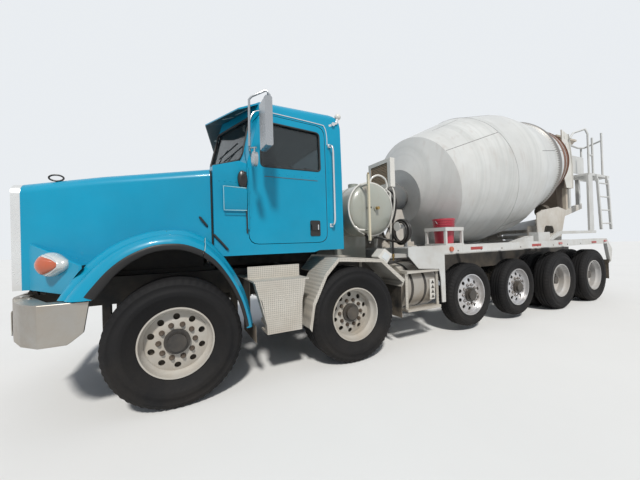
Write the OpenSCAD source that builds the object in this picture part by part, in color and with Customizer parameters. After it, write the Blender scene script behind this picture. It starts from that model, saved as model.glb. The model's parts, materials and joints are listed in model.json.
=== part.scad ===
// Six-axle concrete mixer truck with a rear discharge drum.
// Lengths are in millimetres: +X forward, +Y left, +Z up, and the wheels stand on Z = 0.
// Each module is drawn from the front axle, and all are moved to the shared origin at the end.

/* [Overall] */
// Bumper face ahead of the front axle
front_overhang = 1250; // [1200:10:1300]
// Rear edge of the platform behind the front axle
rear_reach = 9380; // [9340:10:9500]

/* [Wheels] */
// Second axle behind the front axle
axle_2_back = 1801; // [1770:1:1840]
// Third axle behind the front axle
axle_3_back = 3867; // [3820:1:3900]
// Fourth axle behind the front axle
axle_4_back = 5053; // [5000:1:5090]
// Fifth axle behind the front axle
axle_5_back = 6334; // [6300:1:6380]
// Sixth axle behind the front axle
axle_6_back = 7629; // [7600:1:7680]
// Radius of the front tyres
front_tyre_r = 545; // [535:1:550]
// Width of the front tyres
front_tyre_w = 420; // [400:5:430]
// Radius of the second axle's tyres
second_tyre_r = 536; // [525:1:540]
// Width of the second axle's tyres
second_tyre_w = 385; // [365:5:395]
// Radius of the small lift-axle tyres
lift_tyre_r = 464; // [455:1:470]
// Width of the small lift-axle tyres
lift_tyre_w = 255; // [245:5:265]
// Height at which the two lift axles are held
lift_axle_z = 525; // [500:1:540]
// Radius of the drive tyres
drive_tyre_r = 525; // [515:1:530]
// Width of each drive tyre
drive_tyre_w = 279; // [270:1:285]
// Spacing of the twin tyres on a drive hub
twin_spacing = 340; // [330:1:350]
// Outer radius of every rim flange
flange_r = 298; // [295:1:300]
// Radius of a wheel spindle
spindle_r = 45; // [40:1:50]
// Kingpins to the middle of the truck
kingpin_y = 900; // [890:1:905]
// Running clearance in hubs and hinges
run_gap = 0.3; // [0.2:0.1:0.5]

/* [Chassis] */
// Width over the two frame rails
frame_w = 864; // [850:1:870]
// Depth of a frame rail
rail_h = 270; // [260:5:280]
// Top of the frame rails
frame_top = 1075; // [1065:1:1085]
// Flange width of a frame rail
rail_flange = 90; // [80:5:95]
// Thickness of a frame rail
rail_t = 10; // [8:1:12]
// Rear end of the rails behind the front axle
frame_rear = 8450; // [8420:10:8480]
// Top of the bumper
bumper_top = 970; // [960:1:985]
// Depth of the bumper
bumper_h = 305; // [280:5:315]
// Half width of the bumper
bumper_y = 1215; // [1205:1:1225]
// Radius of the fuel tanks
tank_r = 300; // [280:5:310]
// Length of the fuel tanks
tank_len = 560; // [520:10:580]

/* [Cab] */
// Half width of the cab at the doors
cab_y = 1000; // [990:5:1005]
// Back wall of the cab behind the front axle
cab_back = 1790; // [1780:5:1800]
// Bottom of the cab
cab_floor_z = 1250; // [1245:1:1260]
// Top of the cab at the eaves
eaves_z = 2895; // [2880:5:2905]
// Rise of the roof in the middle
roof_rise = 85; // [60:5:100]
// Thickness of the cab's walls and doors
cab_wall = 50; // [40:1:55]
// Height of the waist line
belt_z = 2140; // [2130:5:2150]
// Gap round a door
door_gap = 6; // [5:1:8]
// Thickness of the glass
glass_t = 8; // [6:1:10]

/* [Hood] */
// Front edge of the hood ahead of the front axle
hood_front = 1140; // [1130:5:1150]
// Rear edge of the hood behind the front axle
hood_back = 320; // [315:1:325]
// Wall of the hood and its fenders
hood_wall = 26; // [22:1:32]
// Half width over the fender lips
fender_y = 1240; // [1235:1:1245]

/* [Body] */
// Top of the side decks
deck_top = 1262; // [1255:1:1270]
// Depth of the side deck rail
deck_h = 108; // [100:1:115]
// Half width over the side decks
deck_y = 1220; // [1210:1:1225]
// Radius of the water tank
water_r = 345; // [330:5:350]
// Length of the water tank's shell
water_len = 1800; // [1700:10:1840]
// Radius of the bucket's rim
bucket_r = 150; // [145:1:155]
// Height of the bucket
bucket_h = 365; // [350:5:375]

/* [Drum] */
// Tilt of the drum's axis
drum_tilt = 12.886; // [12.6:0.1:13.2]
// Height of the drum's axis above its datum
drum_z = 1989; // [1980:1:2000]
// Largest radius of the drum
drum_r = 1220; // [1200:5:1230]
// Radius of the front ring of the drum
drum_front_r = 465; // [455:1:475]
// Radius where the mouth band starts
band_r = 835; // [825:1:840]
// Radius of the open mouth
mouth_r = 775; // [765:1:785]
// Wall of the drum
drum_wall = 12; // [8:1:16]
// Radius of the track ring
track_r = 1035; // [1030:1:1045]
// Width of the track ring
track_w = 90; // [80:5:100]
// Radius of a drum roller
roller_r = 130; // [120:5:135]

/* [Chutes] */
// Inner radius of the chute trough
chute_r = 230; // [215:5:235]
// Wall of the chutes
chute_wall = 10; // [8:1:12]
// Length of the main chute
chute_len = 1150; // [1100:10:1170]

/* [Hidden] */
$fn = 48;

white_paint = [0.86, 0.86, 0.84];
teal_paint = [0.05, 0.53, 0.72];
dark_steel = [0.16, 0.16, 0.17];
bright_metal = [0.72, 0.73, 0.74];
black_rubber = [0.07, 0.07, 0.07];

front_axle_x = (rear_reach - front_overhang) / 2;
bumper_wall = 34;
rail_y = frame_w / 2;
rail_low = frame_top - rail_h;
hood_pivot_x = 1150;
hood_pivot_z = 1000;
pivot_r = 12;

// Wheel stations: place behind the front axle, tyre radius, tyre width, rim width,
// outer flange to the middle of the truck, hub height, depth of the disc in the rim, tyres a side
STATIONS = [
    [0, front_tyre_r, front_tyre_w, 311, 1200, front_tyre_r, 70, 1],
    [axle_2_back, second_tyre_r, second_tyre_w, 298, 1205, second_tyre_r, 130, 1],
    [axle_3_back, lift_tyre_r, lift_tyre_w, 190, 1143, lift_axle_z, 35, 1],
    [axle_4_back, lift_tyre_r, lift_tyre_w, 190, 1143, lift_axle_z, 35, 1],
    [axle_5_back, drive_tyre_r, drive_tyre_w, 210, 1190, drive_tyre_r, 275, 2],
    [axle_6_back, drive_tyre_r, drive_tyre_w, 210, 1190, drive_tyre_r, 275, 2]];
flange_lip = 12;
seat_r = flange_r - 12;
well_r = seat_r - 22;
rim_t = 9;
hub_r = 112;
hole_circle = 208;
hand_hole_r = 27;
hand_holes = 10;
bolt_face_r = 172;
disc_t = 14;
twin_dish = 120;
hub_inner = 90;
brake_r = 205;
brake_w = 110;

function back(i) = -STATIONS[i][0];
function rim_w(i) = STATIONS[i][3];
function hub_z(i) = STATIONS[i][5];
// Middle plane of the outer tyre
function tyre_y(i) = STATIONS[i][4] - flange_lip - rim_w(i) / 2;
// Outer face of the disc
function disc_y(i) = STATIONS[i][4] - STATIONS[i][6];

module both_sides() {
    children();
    mirror([0, 1, 0]) children();
}
// Box between two opposite corners
module block(low, high) { translate(low) cube(high - low); }
// Round bars of length h from a point along each axis
module rod_x(at, h, r) { translate(at) rotate([0, 90, 0]) cylinder(h = h, r = r); }
module rod_y(at, h, r) { translate(at) rotate([-90, 0, 0]) cylinder(h = h, r = r); }
module rod_z(at, h, r) { translate(at) cylinder(h = h, r = r); }
// Straight round bar between two points
module bar(a, b, r) {
    d = b - a;
    run = norm(d);
    translate(a) rotate([0, acos(d[2] / run), atan2(d[1], d[0])]) cylinder(h = run, r = r);
}
// Bent tube with ball corners through a list of points
module tube_run(points, r) {
    for (i = [0:len(points) - 2]) bar(points[i], points[i + 1], r);
    for (i = [1:len(points) - 2]) translate(points[i]) sphere(r = r * 1.001);
}
// Outline in the XZ plane made solid from y0 to y1
module plate_xz(y0, y1) {
    translate([0, y1, 0]) rotate([90, 0, 0]) linear_extrude(y1 - y0) children();
}
// Outline in the YZ plane made solid from x0 to x1
module plate_yz(x0, x1) {
    translate([x0, 0, 0]) rotate([90, 0, 90]) linear_extrude(x1 - x0) children();
}
// Point p moved by r towards q
function toward(p, q, r) = p + (q - p) * r / norm(q - p);
function soft_point(a, p, b, t) = (1 - t) * (1 - t) * a + 2 * t * (1 - t) * p + t * t * b;
// Outline with each corner rounded over the length r
function soft(p, r) = [for (i = [0:len(p) - 1], t = [0:0.25:1])
    soft_point(toward(p[i], p[(i + len(p) - 1) % len(p)], r), p[i], toward(p[i], p[(i + 1) % len(p)], r), t)];
function curve_point(a, b, c, d, t) = 0.5 * (2 * b + (c - a) * t + (2 * a - 5 * b + 4 * c - d) * t * t
    + (3 * b - a - 3 * c + d) * t * t * t);
// Smooth curve through the points p, in n steps between each two
function smooth(p, n) = concat([for (i = [0:len(p) - 2], k = [0:n - 1])
    curve_point(p[max(i - 1, 0)], p[i], p[i + 1], p[min(i + 2, len(p) - 1)], k / n)], [p[len(p) - 1]]);
// Solid through closed loops of an even number of points, right-handed about its course
module loft(loops) {
    n = len(loops);
    m = len(loops[0]);
    polyhedron(points = [for (i = [0:n - 1], j = [0:m - 1]) loops[i][j]], faces = concat(
        [for (i = [0:n - 2], j = [0:m - 1]) [i * m + j, (i + 1) * m + j, (i + 1) * m + (j + 1) % m]],
        [for (i = [0:n - 2], j = [0:m - 1]) [i * m + j, (i + 1) * m + (j + 1) % m, i * m + (j + 1) % m]],
        [for (j = [0:m / 2 - 2]) [j, j + 1, m - 2 - j]],
        [for (j = [0:m / 2 - 2]) [j, m - 2 - j, m - 1 - j]],
        [for (j = [0:m / 2 - 2]) [(n - 1) * m + m - 2 - j, (n - 1) * m + j + 1, (n - 1) * m + j]],
        [for (j = [0:m / 2 - 2]) [(n - 1) * m + m - 1 - j, (n - 1) * m + m - 2 - j, (n - 1) * m + j]]));
}
// Axis of the wheels: local +Z points out to the left
module wheel_axis() { rotate([-90, 0, 0]) children(); }

// Wheels

module tyre(r, w, seat_w) {
    wall = 24;
    half = seat_w / 2 - run_gap;
    mid_r = (flange_r + r) / 2;
    rotate_extrude($fn = 96) difference() {
        polygon([[seat_r + run_gap, -half], [flange_r + 2, -half], [flange_r + 14, -half - 8],
            [mid_r, -w / 2], [r - 48, -w / 2 + 5], [r - 14, -w / 2 + 24], [r, -w / 2 + 52],
            [r, w / 2 - 52], [r - 14, w / 2 - 24], [r - 48, w / 2 - 5], [mid_r, w / 2],
            [flange_r + 14, half + 8], [flange_r + 2, half], [seat_r + run_gap, half]]);
        polygon([[seat_r - 10, -half + 26], [flange_r + 10, -half + 26], [mid_r, -w / 2 + wall],
            [r - 60, -w / 2 + wall + 4], [r - 34, -w / 2 + 60], [r - 34, w / 2 - 60],
            [r - 60, w / 2 - wall - 4], [mid_r, w / 2 - wall], [flange_r + 10, half - 26],
            [seat_r - 10, half - 26]]);
    }
}
module rim_barrel(seat_w) {
    h = seat_w / 2;
    rotate_extrude($fn = 96) polygon([
        [flange_r, h + flange_lip], [flange_r, h], [seat_r, h], [seat_r, h - 38],
        [well_r, h - 62], [well_r, 62 - h], [seat_r, 38 - h], [seat_r, -h], [flange_r, -h],
        [flange_r, -h - flange_lip], [seat_r, -h - flange_lip], [seat_r - rim_t, 36 - h],
        [well_r - rim_t, 66 - h], [well_r - rim_t, h - 66], [seat_r - rim_t, h - 36],
        [seat_r, h + flange_lip]]);
}
// Wheel disc with its bolting face at z = 0; dish is how far its edge at radius r lies inwards
module rim_disc(dish, r) {
    reach = abs(dish) + 40;
    difference() {
        rotate_extrude($fn = 96) polygon([[hub_r - 5, 0], [bolt_face_r, 0], [r, -dish], [r, -dish - 12],
            [bolt_face_r, -disc_t], [hub_r - 5, -disc_t]]);
        for (k = [0:hand_holes - 1]) rotate([0, 0, (k + 0.5) * 360 / hand_holes])
            translate([hole_circle, 0, -reach]) cylinder(h = 2 * reach, r = hand_hole_r, $fn = 24);
    }
}
// Hub from the disc inwards, bored for the spindle, with its cap outside
module hub(inner, cap) {
    difference() {
        union() {
            rod_z([0, 0, -inner], inner, hub_r);
            cylinder(h = cap * 0.45, r = hub_r - 8);
            cylinder(h = cap, r = 74);
        }
        rod_z([0, 0, -inner - 1], inner + 21, spindle_r + run_gap);
    }
}
module wheel(i, side) {
    s = STATIONS[i];
    mirror([0, side < 0 ? 1 : 0, 0]) translate([back(i), 0, hub_z(i)]) wheel_axis() {
        for (n = [0:s[7] - 1]) translate([0, 0, tyre_y(i) - n * twin_spacing])
            color(black_rubber) tyre(s[1], s[2], rim_w(i));
        color(i == 2 || i == 3 ? bright_metal : white_paint) {
            for (n = [0:s[7] - 1]) translate([0, 0, tyre_y(i) - n * twin_spacing])
                rim_barrel(rim_w(i));
            translate([0, 0, disc_y(i)]) {
                if (s[7] == 2) {
                    rim_disc(-twin_dish, well_r - rim_t + 4);
                    translate([0, 0, -disc_t]) rim_disc(twin_dish, well_r - rim_t + 4);
                }
                else rim_disc(22, s[6] < 60 ? well_r + 4 : well_r - rim_t + 4);
                hub(hub_inner, s[7] == 2 ? 190 : 62);
            }
        }
    }
}

// Axles

// Inner face of the brake, which stands clear of the hub
function brake_from(i) = disc_y(i) - hub_inner - run_gap - brake_w;
// Round spindle and brake on the left, up to the hub's bore
module stub(i, from_y) {
    translate([back(i), 0, hub_z(i)]) wheel_axis() {
        rod_z([0, 0, from_y], disc_y(i) - from_y + 15, spindle_r);
        rod_z([0, 0, brake_from(i)], brake_w, brake_r);
    }
}
module knuckle(side) {
    mirror([0, side < 0 ? 1 : 0, 0]) color(dark_steel) difference() {
        union() {
            stub(0, kingpin_y);
            for (z = [75, -130]) rod_z([0, kingpin_y, hub_z(0) + z], 55, 52);
            block([-50, kingpin_y, hub_z(0) - 130], [50, brake_from(0) + 5, hub_z(0) + 130]);
            block([-190, kingpin_y - 30, hub_z(0) - 130], [0, kingpin_y + 10, hub_z(0) - 100]);
        }
        rod_z([0, kingpin_y, 0], 1200, 26 + run_gap);
        block([-60, kingpin_y - 60, hub_z(0) - 75], [60, kingpin_y + 56, hub_z(0) + 75]);
    }
}
module front_axle() {
    beam_z = hub_z(0) - 60;
    color(dark_steel) {
        both_sides() {
            rod_z([0, kingpin_y, hub_z(0) - 75 + run_gap], 150 - 2 * run_gap, 48);
            rod_z([0, kingpin_y, hub_z(0) - 145], 290, 26);
            block([-45, 560, beam_z], [45, kingpin_y - 20, beam_z + 110]);
            hull() {
                block([-45, 540, beam_z], [45, 570, beam_z + 110]);
                block([-45, 470, beam_z - 60], [45, 500, beam_z + 40]);
            }
            // Leaf spring under each rail, with its hangers
            block([-650, rail_y - 85, beam_z + 40], [650, rail_y - 5, beam_z + 100]);
            for (x = [-650, 580]) block([x, rail_y - 85, beam_z + 100],
                [x + 70, rail_y - 5, rail_low]);
        }
        block([-45, -500, beam_z - 60], [45, 500, beam_z + 40]);
    }
}
module pusher_axles() {
    color(dark_steel) for (i = [1:3]) {
        tube_end = brake_from(i) + 5;
        both_sides() {
            stub(i, tube_end - 20);
            // Trailing arm and air spring up to the rail
            block([back(i) - 60, rail_y - 100, hub_z(i)], [back(i) + 60, rail_y - 10, hub_z(i) + 90]);
            translate([back(i), rail_y - 55, hub_z(i) + 80])
                cylinder(h = rail_low - hub_z(i) - 80, r = 95);
            plate_xz(rail_y - 90, rail_y - 20) polygon([
                [back(i), hub_z(i) - 60], [back(i), hub_z(i) + 50], [back(i) + 480, rail_low],
                [back(i) + 560, rail_low], [back(i) + 480, rail_low - 110]]);
        }
        rod_y([back(i), -tube_end, hub_z(i)], 2 * tube_end, 66);
    }
}
pinion_reach = 330;
module drive_axles() {
    color(dark_steel) {
        // Shaft between the two axle housings
        bar([back(4), 0, hub_z(4)], [back(5) + pinion_reach - 10, 0, hub_z(5)], 48);
        for (i = [4, 5]) {
            tube_end = brake_from(i) + 5;
            both_sides() stub(i, tube_end - 20);
            rod_y([back(i), -tube_end, hub_z(i)], 2 * tube_end, 72);
            translate([back(i), 0, hub_z(i)]) sphere(r = 215);
            rod_x([back(i), 0, hub_z(i)], pinion_reach, 95);
        }
        // Walking beams below the axles and the saddles that carry the rails
        mid = (back(4) + back(5)) / 2;
        both_sides() {
            plate_xz(rail_y - 95, rail_y - 5) polygon([
                [back(5) - 90, drive_tyre_r - 60], [back(5) - 90, drive_tyre_r - 130], [mid, drive_tyre_r - 190],
                [back(4) + 90, drive_tyre_r - 130], [back(4) + 90, drive_tyre_r - 60],
                [mid, drive_tyre_r + 10]]);
            plate_xz(rail_y - 95, rail_y - 5) polygon([
                [mid - 90, drive_tyre_r - 60], [mid + 90, drive_tyre_r - 60],
                [mid + 220, rail_low], [mid - 220, rail_low]]);
        }
    }
}

// Chassis

cross_members = [960, -1360, -2560, -4460, -5700, -6980, -8360];
// Lug with a round head at c, standing on the line from x0 to x1 at height z
module hull_plate(c, r, x, z) {
    translate(c) circle(r = r);
    polygon([[x[0], z], [x[1], z], [c[0] + r, c[1]], [c[0] - r, c[1]]]);
}
tail_beam_z = rail_low - 70;
module frame_rails() {
    inner = rail_y - rail_flange;
    color(dark_steel) {
        both_sides() difference() {
            block([-frame_rear, inner, rail_low], [1060, rail_y, frame_top]);
            block([-frame_rear - 1, inner - 1, rail_low + rail_t],
                [1061, rail_y - rail_t, frame_top - rail_t]);
        }
        for (x = cross_members) difference() {
            block([x - 40, -rail_y + rail_t, frame_top - 160], [x + 40, rail_y - rail_t, frame_top - rail_t]);
            block([x - 40 - 1, -rail_y, frame_top - 160 + rail_t], [x + 30, rail_y, frame_top - 2 * rail_t]);
        }
        // Rear cross piece that carries the flaps
        block([-8270, -1210, tail_beam_z], [-8250, 1210, rail_low]);
        // Bumper brackets, which rise to the hood's hinge pin
        both_sides() {
            block([1060, inner + 40, rail_low + 20], [front_overhang - bumper_wall, rail_y,
                frame_top - 120]);
            difference() {
                plate_xz(inner + 40, rail_y) hull_plate([hood_pivot_x, hood_pivot_z], 24, [1110, 1204], frame_top - 130);
                rod_y([hood_pivot_x, 0, hood_pivot_z], 1000, pivot_r + run_gap);
            }
        }
    }
}
function bumper_side(inset) = [[front_overhang - inset, -300], [front_overhang - inset, 300],
    [front_overhang - 18 - inset, 560], [front_overhang - 48 - inset, 660], [1115 - inset, 890 - inset * 0.2],
    [1010 - inset * 0.9, 1085 - inset * 0.5], [880 - inset * 0.5, bumper_y - inset], [560, bumper_y - inset]];
module bumper_plan(inset) {
    half = bumper_side(inset);
    polygon(concat([for (k = [1:7]) half[k]], [for (k = [7:-1:1]) [half[k][0], -half[k][1]]]));
}
module front_bumper() {
    wall = bumper_wall;
    low = bumper_top - bumper_h;
    color(bright_metal) difference() {
        translate([0, 0, low]) linear_extrude(bumper_h) bumper_plan(0);
        translate([0, 0, low - 1]) linear_extrude(bumper_h - wall / 2) bumper_plan(wall);
        translate([0, 0, low - 1]) linear_extrude(bumper_h + 2) polygon([
            [500, -1080], [860, -1080], [1120, -600], [1120, -470], [front_overhang - wall, -470],
            [front_overhang - wall, 470], [1120, 470], [1120, 600], [860, 1080], [500, 1080]]);
        // Sloping rear edges of the wings
        plate_xz(-1300, 1300) polygon([[500, 1000], [578, 1000], [620, low + 75], [690, low + 18], [720, low - 2],
            [500, low - 2]]);
    }
}
engine_w = 600;
module powertrain() {
    color(dark_steel) {
        // Engine
        block([-420, -engine_w / 2 - 30, 790], [640, engine_w / 2 + 30, 1120]);
        block([-300, -engine_w / 2, 1110], [640, engine_w / 2, 1720]);
        // Clutch housing and gearbox
        translate([-760, 0, 880]) rotate([0, 90, 0]) cylinder(h = 345, r1 = 170, r2 = 260);
        block([-1300, -190, 720], [-750, 190, 910]);
        // Shafts to the first drive axle
        bar([-1290, 0, 800], [-3000, 0, 760], 55);
        bar([-2990, 0, 760], [-4700, 0, 740], 55);
        bar([-4690, 0, 740], [back(4) + pinion_reach + 24, 0, hub_z(4) + 20], 55);
        rod_x([back(4) + pinion_reach, 0, hub_z(4)], 34, 90);
        for (x = [-2995, -4695]) {
            block([x - 30, -70, 690], [x + 30, 70, frame_top - 160]);
            block([x - 30, -rail_y + rail_t, frame_top - 170], [x + 30, rail_y - rail_t, frame_top - 150]);
        }
        // Engine mounts
        both_sides() for (x = [-330, 420]) block([x, 320, 880], [x + 90, rail_y - rail_t, 960]);
        both_sides() block([-1200, 180, 830], [-1120, rail_y - rail_t, 900]);
        // Radiator on the rails, its foot between them, and the fan's shroud
        block([790, -400, frame_top], [880, 400, 1690]);
        block([790, -rail_y + rail_flange + 12, frame_top - 100], [880, rail_y - rail_flange - 12, frame_top + 1]);
        block([700, -360, 1120], [791, 360, 1640]);
    }
}
module exhaust() {
    y = -(rail_y + 190);
    color([0.45, 0.42, 0.38]) {
        rod_x([-1230, y, 700], 520, 130);
        tube_run([[-720, y, 700], [-600, y, 720], [-480, y, 900], [-340, -540, 1180], [-340, -engine_w / 2, 1180]], 55);
        tube_run([[-1225, y, 700], [-1330, y, 690], [-1400, y + 60, 620]], 50);
        for (x = [-1100, -860]) block([x, y - 20, 820], [x + 40, -rail_y, 870]);
    }
}
module fuel_tanks() {
    x = -2860;
    y = deck_y - 60 - tank_r;
    z = 740;
    color(bright_metal) both_sides() {
        rod_x([x - tank_len / 2, y, z], tank_len, tank_r);
        for (e = [-1, 1]) translate([x + e * tank_len / 2, y, z]) rotate([0, 90, 0])
            cylinder(h = 24, r = tank_r * 0.8, center = true);
        rod_z([x + 160, y - 40, z + tank_r - 20], 60, 55);
        // Brackets to the frame rail
        for (dx = [-180, 180]) difference() {
            block([x + dx - 30, rail_y, z - tank_r - 12], [x + dx + 30, y, frame_top - 30]);
            rod_x([x + dx - 31, y, z], 62, tank_r - 2);
        }
        // Treads
        for (z2 = [930, 450]) block([x - 290, deck_y - 150, z2], [x + 290, deck_y - 12 - run_gap, z2 + 32]);
        for (dx = [-290, 250]) block([x + dx, deck_y - 60, 450], [x + dx + 40, deck_y - 48, 962]);
        block([x - 290, deck_y - 420, 930], [x + 290, deck_y - 140, 945]);
    }
}
module step_boxes() {
    out = bumper_y - 12;
    color([0.62, 0.60, 0.55]) both_sides() {
        plate_xz(rail_y, out) polygon([[-660, 1000], [-1230, 1000], [-1230, 985], [-660, 985]]);
        plate_xz(800, out) polygon([[-1160, 985], [-1148, 985], [-1110, 590], [-1122, 590]]);
        block([-1230, 930, 1000], [-660, 945, 1125]);
        // Dished riser and lower step
        plate_xz(out - 12, out) polygon([[-680, 986], [-1190, 986], [-1185, 930], [-1150, 760], [-1140, 480],
            [-780, 480], [-770, 640], [-735, 800], [-680, 930]]);
        plate_xz(out - 90, out) polygon([[-668, 986], [-680, 986], [-790, 560], [-790, 480], [-778, 480], [-778, 560]]);
        block([-1140, 980, 560], [-780, out, 600]);
        block([-1140, 980, 480], [-780, out, 500]);
        block([-1000, rail_y, 860], [-930, out - 12, 985]);
    }
}

// Arch over the second axle, as its outer edge; columns are place behind the axle and height
second_arch = [[583, 473], [535, 734], [377, 1031], [221, 1180], [-377, 1140], [-719, 870], [-680, 800]];
module second_fenders() {
    thick = 12;
    outer = [for (p = second_arch) [back(1) + p[0], p[1]]];
    inner = [for (p = second_arch) [back(1) + p[0] * 0.972, p[1] - thick - 2]];
    n = len(outer);
    color([0.66, 0.64, 0.60]) both_sides() {
        plate_xz(790, deck_y) polygon(concat(outer, [for (k = [n - 1:-1:0]) inner[k]]));
        plate_xz(deck_y - 10, deck_y) polygon(concat(outer,
            [for (k = [n - 2:-1:0]) [back(1) + second_arch[k][0] * 0.957, second_arch[k][1] - 38]]));
        // Top plate carried in towards the frame
        plate_xz(540, 791) polygon(concat([for (k = [2:4]) outer[k] - [0, 1]], [for (k = [4:-1:2]) inner[k] + [0, 1]]));
        plate_xz(530, 541) polygon([outer[2] + [-14, 0], outer[3] + [0, 24], outer[4] + [0, 24], inner[4] + [0, 3], inner[3] + [0, 3], inner[2] + [0, 3]]);
        // Stays from the rail
        for (k = [3, 4]) {
            x = outer[k][0] + (k == 3 ? -40 : 40);
            block([x - 20, rail_y, 985], [x + 20, 830, 1025]);
            block([x - 20, 795, 985], [x + 20, 830, outer[k][1] - 8]);
        }
    }
}
module mud_flaps() {
    color(black_rubber) both_sides() {
        plate_yz(-668, -660) polygon([[700, 430], [1215, 430], [1215, 585], [cab_y - 6, 585], [cab_y - 6, 985], [700, 985]]);
        block([back(1) + second_arch[6][0] + 4, 800, 400], [back(1) + second_arch[6][0] + 12, 1200, second_arch[6][1] - 9.2]);
        block([-8265, 640, 400], [-8257, 1200, tail_beam_z]);
    }
}

// Cab

pane_az = 16.4;
pane_el = 15.3;
post_foot = [-430, 0, 2370];
// Plane of one windshield half: local +X is out of the glass
module pane_frame(side) {
    translate(post_foot) rotate([0, -pane_el, pane_az * side]) children();
}
// Half section of the cab: distance from the middle and height
eave_z = eaves_z - 5;
eave_r = [150, 110];
function cab_half(d) = concat([[cab_y - d, cab_floor_z + d], [cab_y - d, belt_z], [cab_y - 15 - d, eave_z - eave_r[1]]],
    [for (a = [20:17.5:90]) [cab_y - 15 - d - eave_r[0] * (1 - cos(a)), eave_z - d - eave_r[1] * (1 - sin(a))]],
    [[(cab_y - 165 - d) * 0.5, eave_z + roof_rise * 0.78 - d], [0, eave_z + roof_rise - d]]);
// Cab before its cowl is cut, drawn in by d
module cab_body(d) {
    half = cab_half(d);
    n = len(half);
    difference() {
        plate_yz(-cab_back + d, -hood_back - 20 - d) polygon(concat([for (k = [0:n - 1]) half[k]],
            [for (k = [n - 2:-1:0]) [-half[k][0], half[k][1]]]));
        for (s = [-1, 1]) pane_frame(s) translate([-d, -1500, -200]) cube([900, 3000, 1500]);
        // Roof falling away to the rear
        plate_xz(-1200, 1200) polygon([[-cab_back - 10, eave_z - 190 - d], [-cab_back + d, eave_z - 190 - d],
            [-cab_back + 12 + d, eave_z - 130 - d], [-cab_back + 50 + d, eave_z - 70 - d], [-cab_back + 130 + d, eave_z - 10 - d],
            [-cab_back + 270, eave_z + 45 - d], [-cab_back + 440, eave_z + 75 - d], [-cab_back + 640, eave_z + 90 - d],
            [-cab_back + 640, eave_z + 300], [-cab_back - 10, eave_z + 300]]);
    }
}
// Cab with its cowl, which climbs from the hood to the panes
module cab_form(d) {
    difference() {
        cab_body(d);
        loft([for (y = [-1200:200:1200]) [
            [-hood_back + 60, y, 2128 + 55 * max(0, 1 - y * y / 722500) - d],
            [-hood_back - 20, y, 2128 + 55 * max(0, 1 - y * y / 722500) - d],
            [-430 - 0.254 * abs(y) - d * 1.2, y, 2365 - 0.141 * abs(y) - d],
            [-430 - 0.254 * abs(y) - d * 1.2, y, 3100], [-350, y, 3100], [-hood_back + 60, y, 3100]]]);
    }
}
// Outline of a door, grown by g
module door_outline(g) {
    polygon(soft([[-675 + g, 1360 - g], [-675 + g, 2330], [-790 + g * 0.9, eaves_z - 170 + g], [-1570 - g, eaves_z - 215 + g],
        [-1570 - g, 1360 - g]], 110));
}
// Outline of the glass in a door, grown by g
module window_outline(g) {
    polygon(soft([[-815 + g, 2165 - g], [-815 + g, 2330], [-905 + g, eaves_z - 255 + g], [-1505 - g, eaves_z - 290 + g],
        [-1505 - g, 2165 - g]], 45));
}
// Outline of a windshield half in its own plane
module pane_outline() {
    polygon(soft([[30, -2], [845, -117], [880, -60], [846, eaves_z - 2500], [30, eaves_z - 2463]], 30));
}
module pane_solid(s, x0, x1) {
    pane_frame(s) mirror([0, s < 0 ? 1 : 0, 0]) plate_yz(x0, x1) pane_outline();
}
door_inner_y = 868;
module cab_skin() {
    difference() {
        cab_form(0);
        cab_form(cab_wall);
    }
}
module cab_shell() {
    color(teal_paint) {
        difference() {
            cab_skin();
            for (s = [-1, 1]) {
                plate_xz(s > 0 ? door_inner_y : -1100, s > 0 ? 1100 : -door_inner_y) door_outline(door_gap);
                pane_solid(s, -cab_wall * 2 - 60, 240);
            }
            block([-cab_back - 1, -560, 2230], [-cab_back + cab_wall + 1, 560, 2640]);
            // Chamfer under the rear corner
            plate_xz(-1100, 1100) polygon([[-1400, cab_floor_z - 1], [-cab_back - 1, cab_floor_z - 1],
                [-cab_back - 1, cab_floor_z + 20], [-1470, cab_floor_z + 20]]);
        }
        // Mounts down to the rails
        both_sides() for (x = [-560, -1700]) block([x, rail_y - 80, frame_top], [x + 90, rail_y, cab_floor_z + 2]);
        // Cowl vent box
        both_sides() difference() {
            plate_xz(cab_y - 2, cab_y + 40) polygon(soft([[-655, 1690], [-425, 1690], [-425, 1935], [-655, 1925]], 30));
            translate([-540, cab_y + 40, 1660]) rotate([-14, 0, 0]) cube([300, 60, 700], center = true);
        }
        both_sides() door_hinge_cab();
    }
}
module cab_glass() {
    color([0.3, 0.36, 0.4, 0.5]) {
        for (s = [-1, 1]) pane_solid(s, -cab_wall / 2, -cab_wall / 2 + glass_t);
        block([-cab_back + 20, -560, 2230], [-cab_back + 20 + glass_t, 560, 2640]);
    }
}
module sun_visor() {
    color(teal_paint) difference() {
        for (s = [-1, 1]) hull() {
            for (p = [[-395, 0, -5], [-628, s * 930, -145], [-640, 0, 55], [-830, s * 900, -45]])
                translate(p + [0, 0, eaves_z]) cube([12, 1, 14]);
        }
        cab_body(0);
    }
}
module cab_interior() {
    color([0.2, 0.2, 0.21]) {
        block([-cab_back + cab_wall, -cab_y + cab_wall, cab_floor_z + cab_wall],
            [-hood_back - 20 - cab_wall, cab_y - cab_wall, cab_floor_z + cab_wall + 30]);
        block([-760, -cab_y + cab_wall + 60, 1820], [-hood_back - 20 - cab_wall, cab_y - cab_wall - 60, 2040]);
        bar([-620, 430, 1900], [-960, 430, 2020], 30);
        translate([-960, 430, 2020]) rotate([0, -70, 0]) {
            rotate_extrude() translate([210, 0]) circle(r = 16);
            for (k = [0:3]) rotate([0, 0, 45 + 90 * k]) translate([0, -14, -8]) cube([205, 28, 16]);
        }
    }
}
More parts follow.
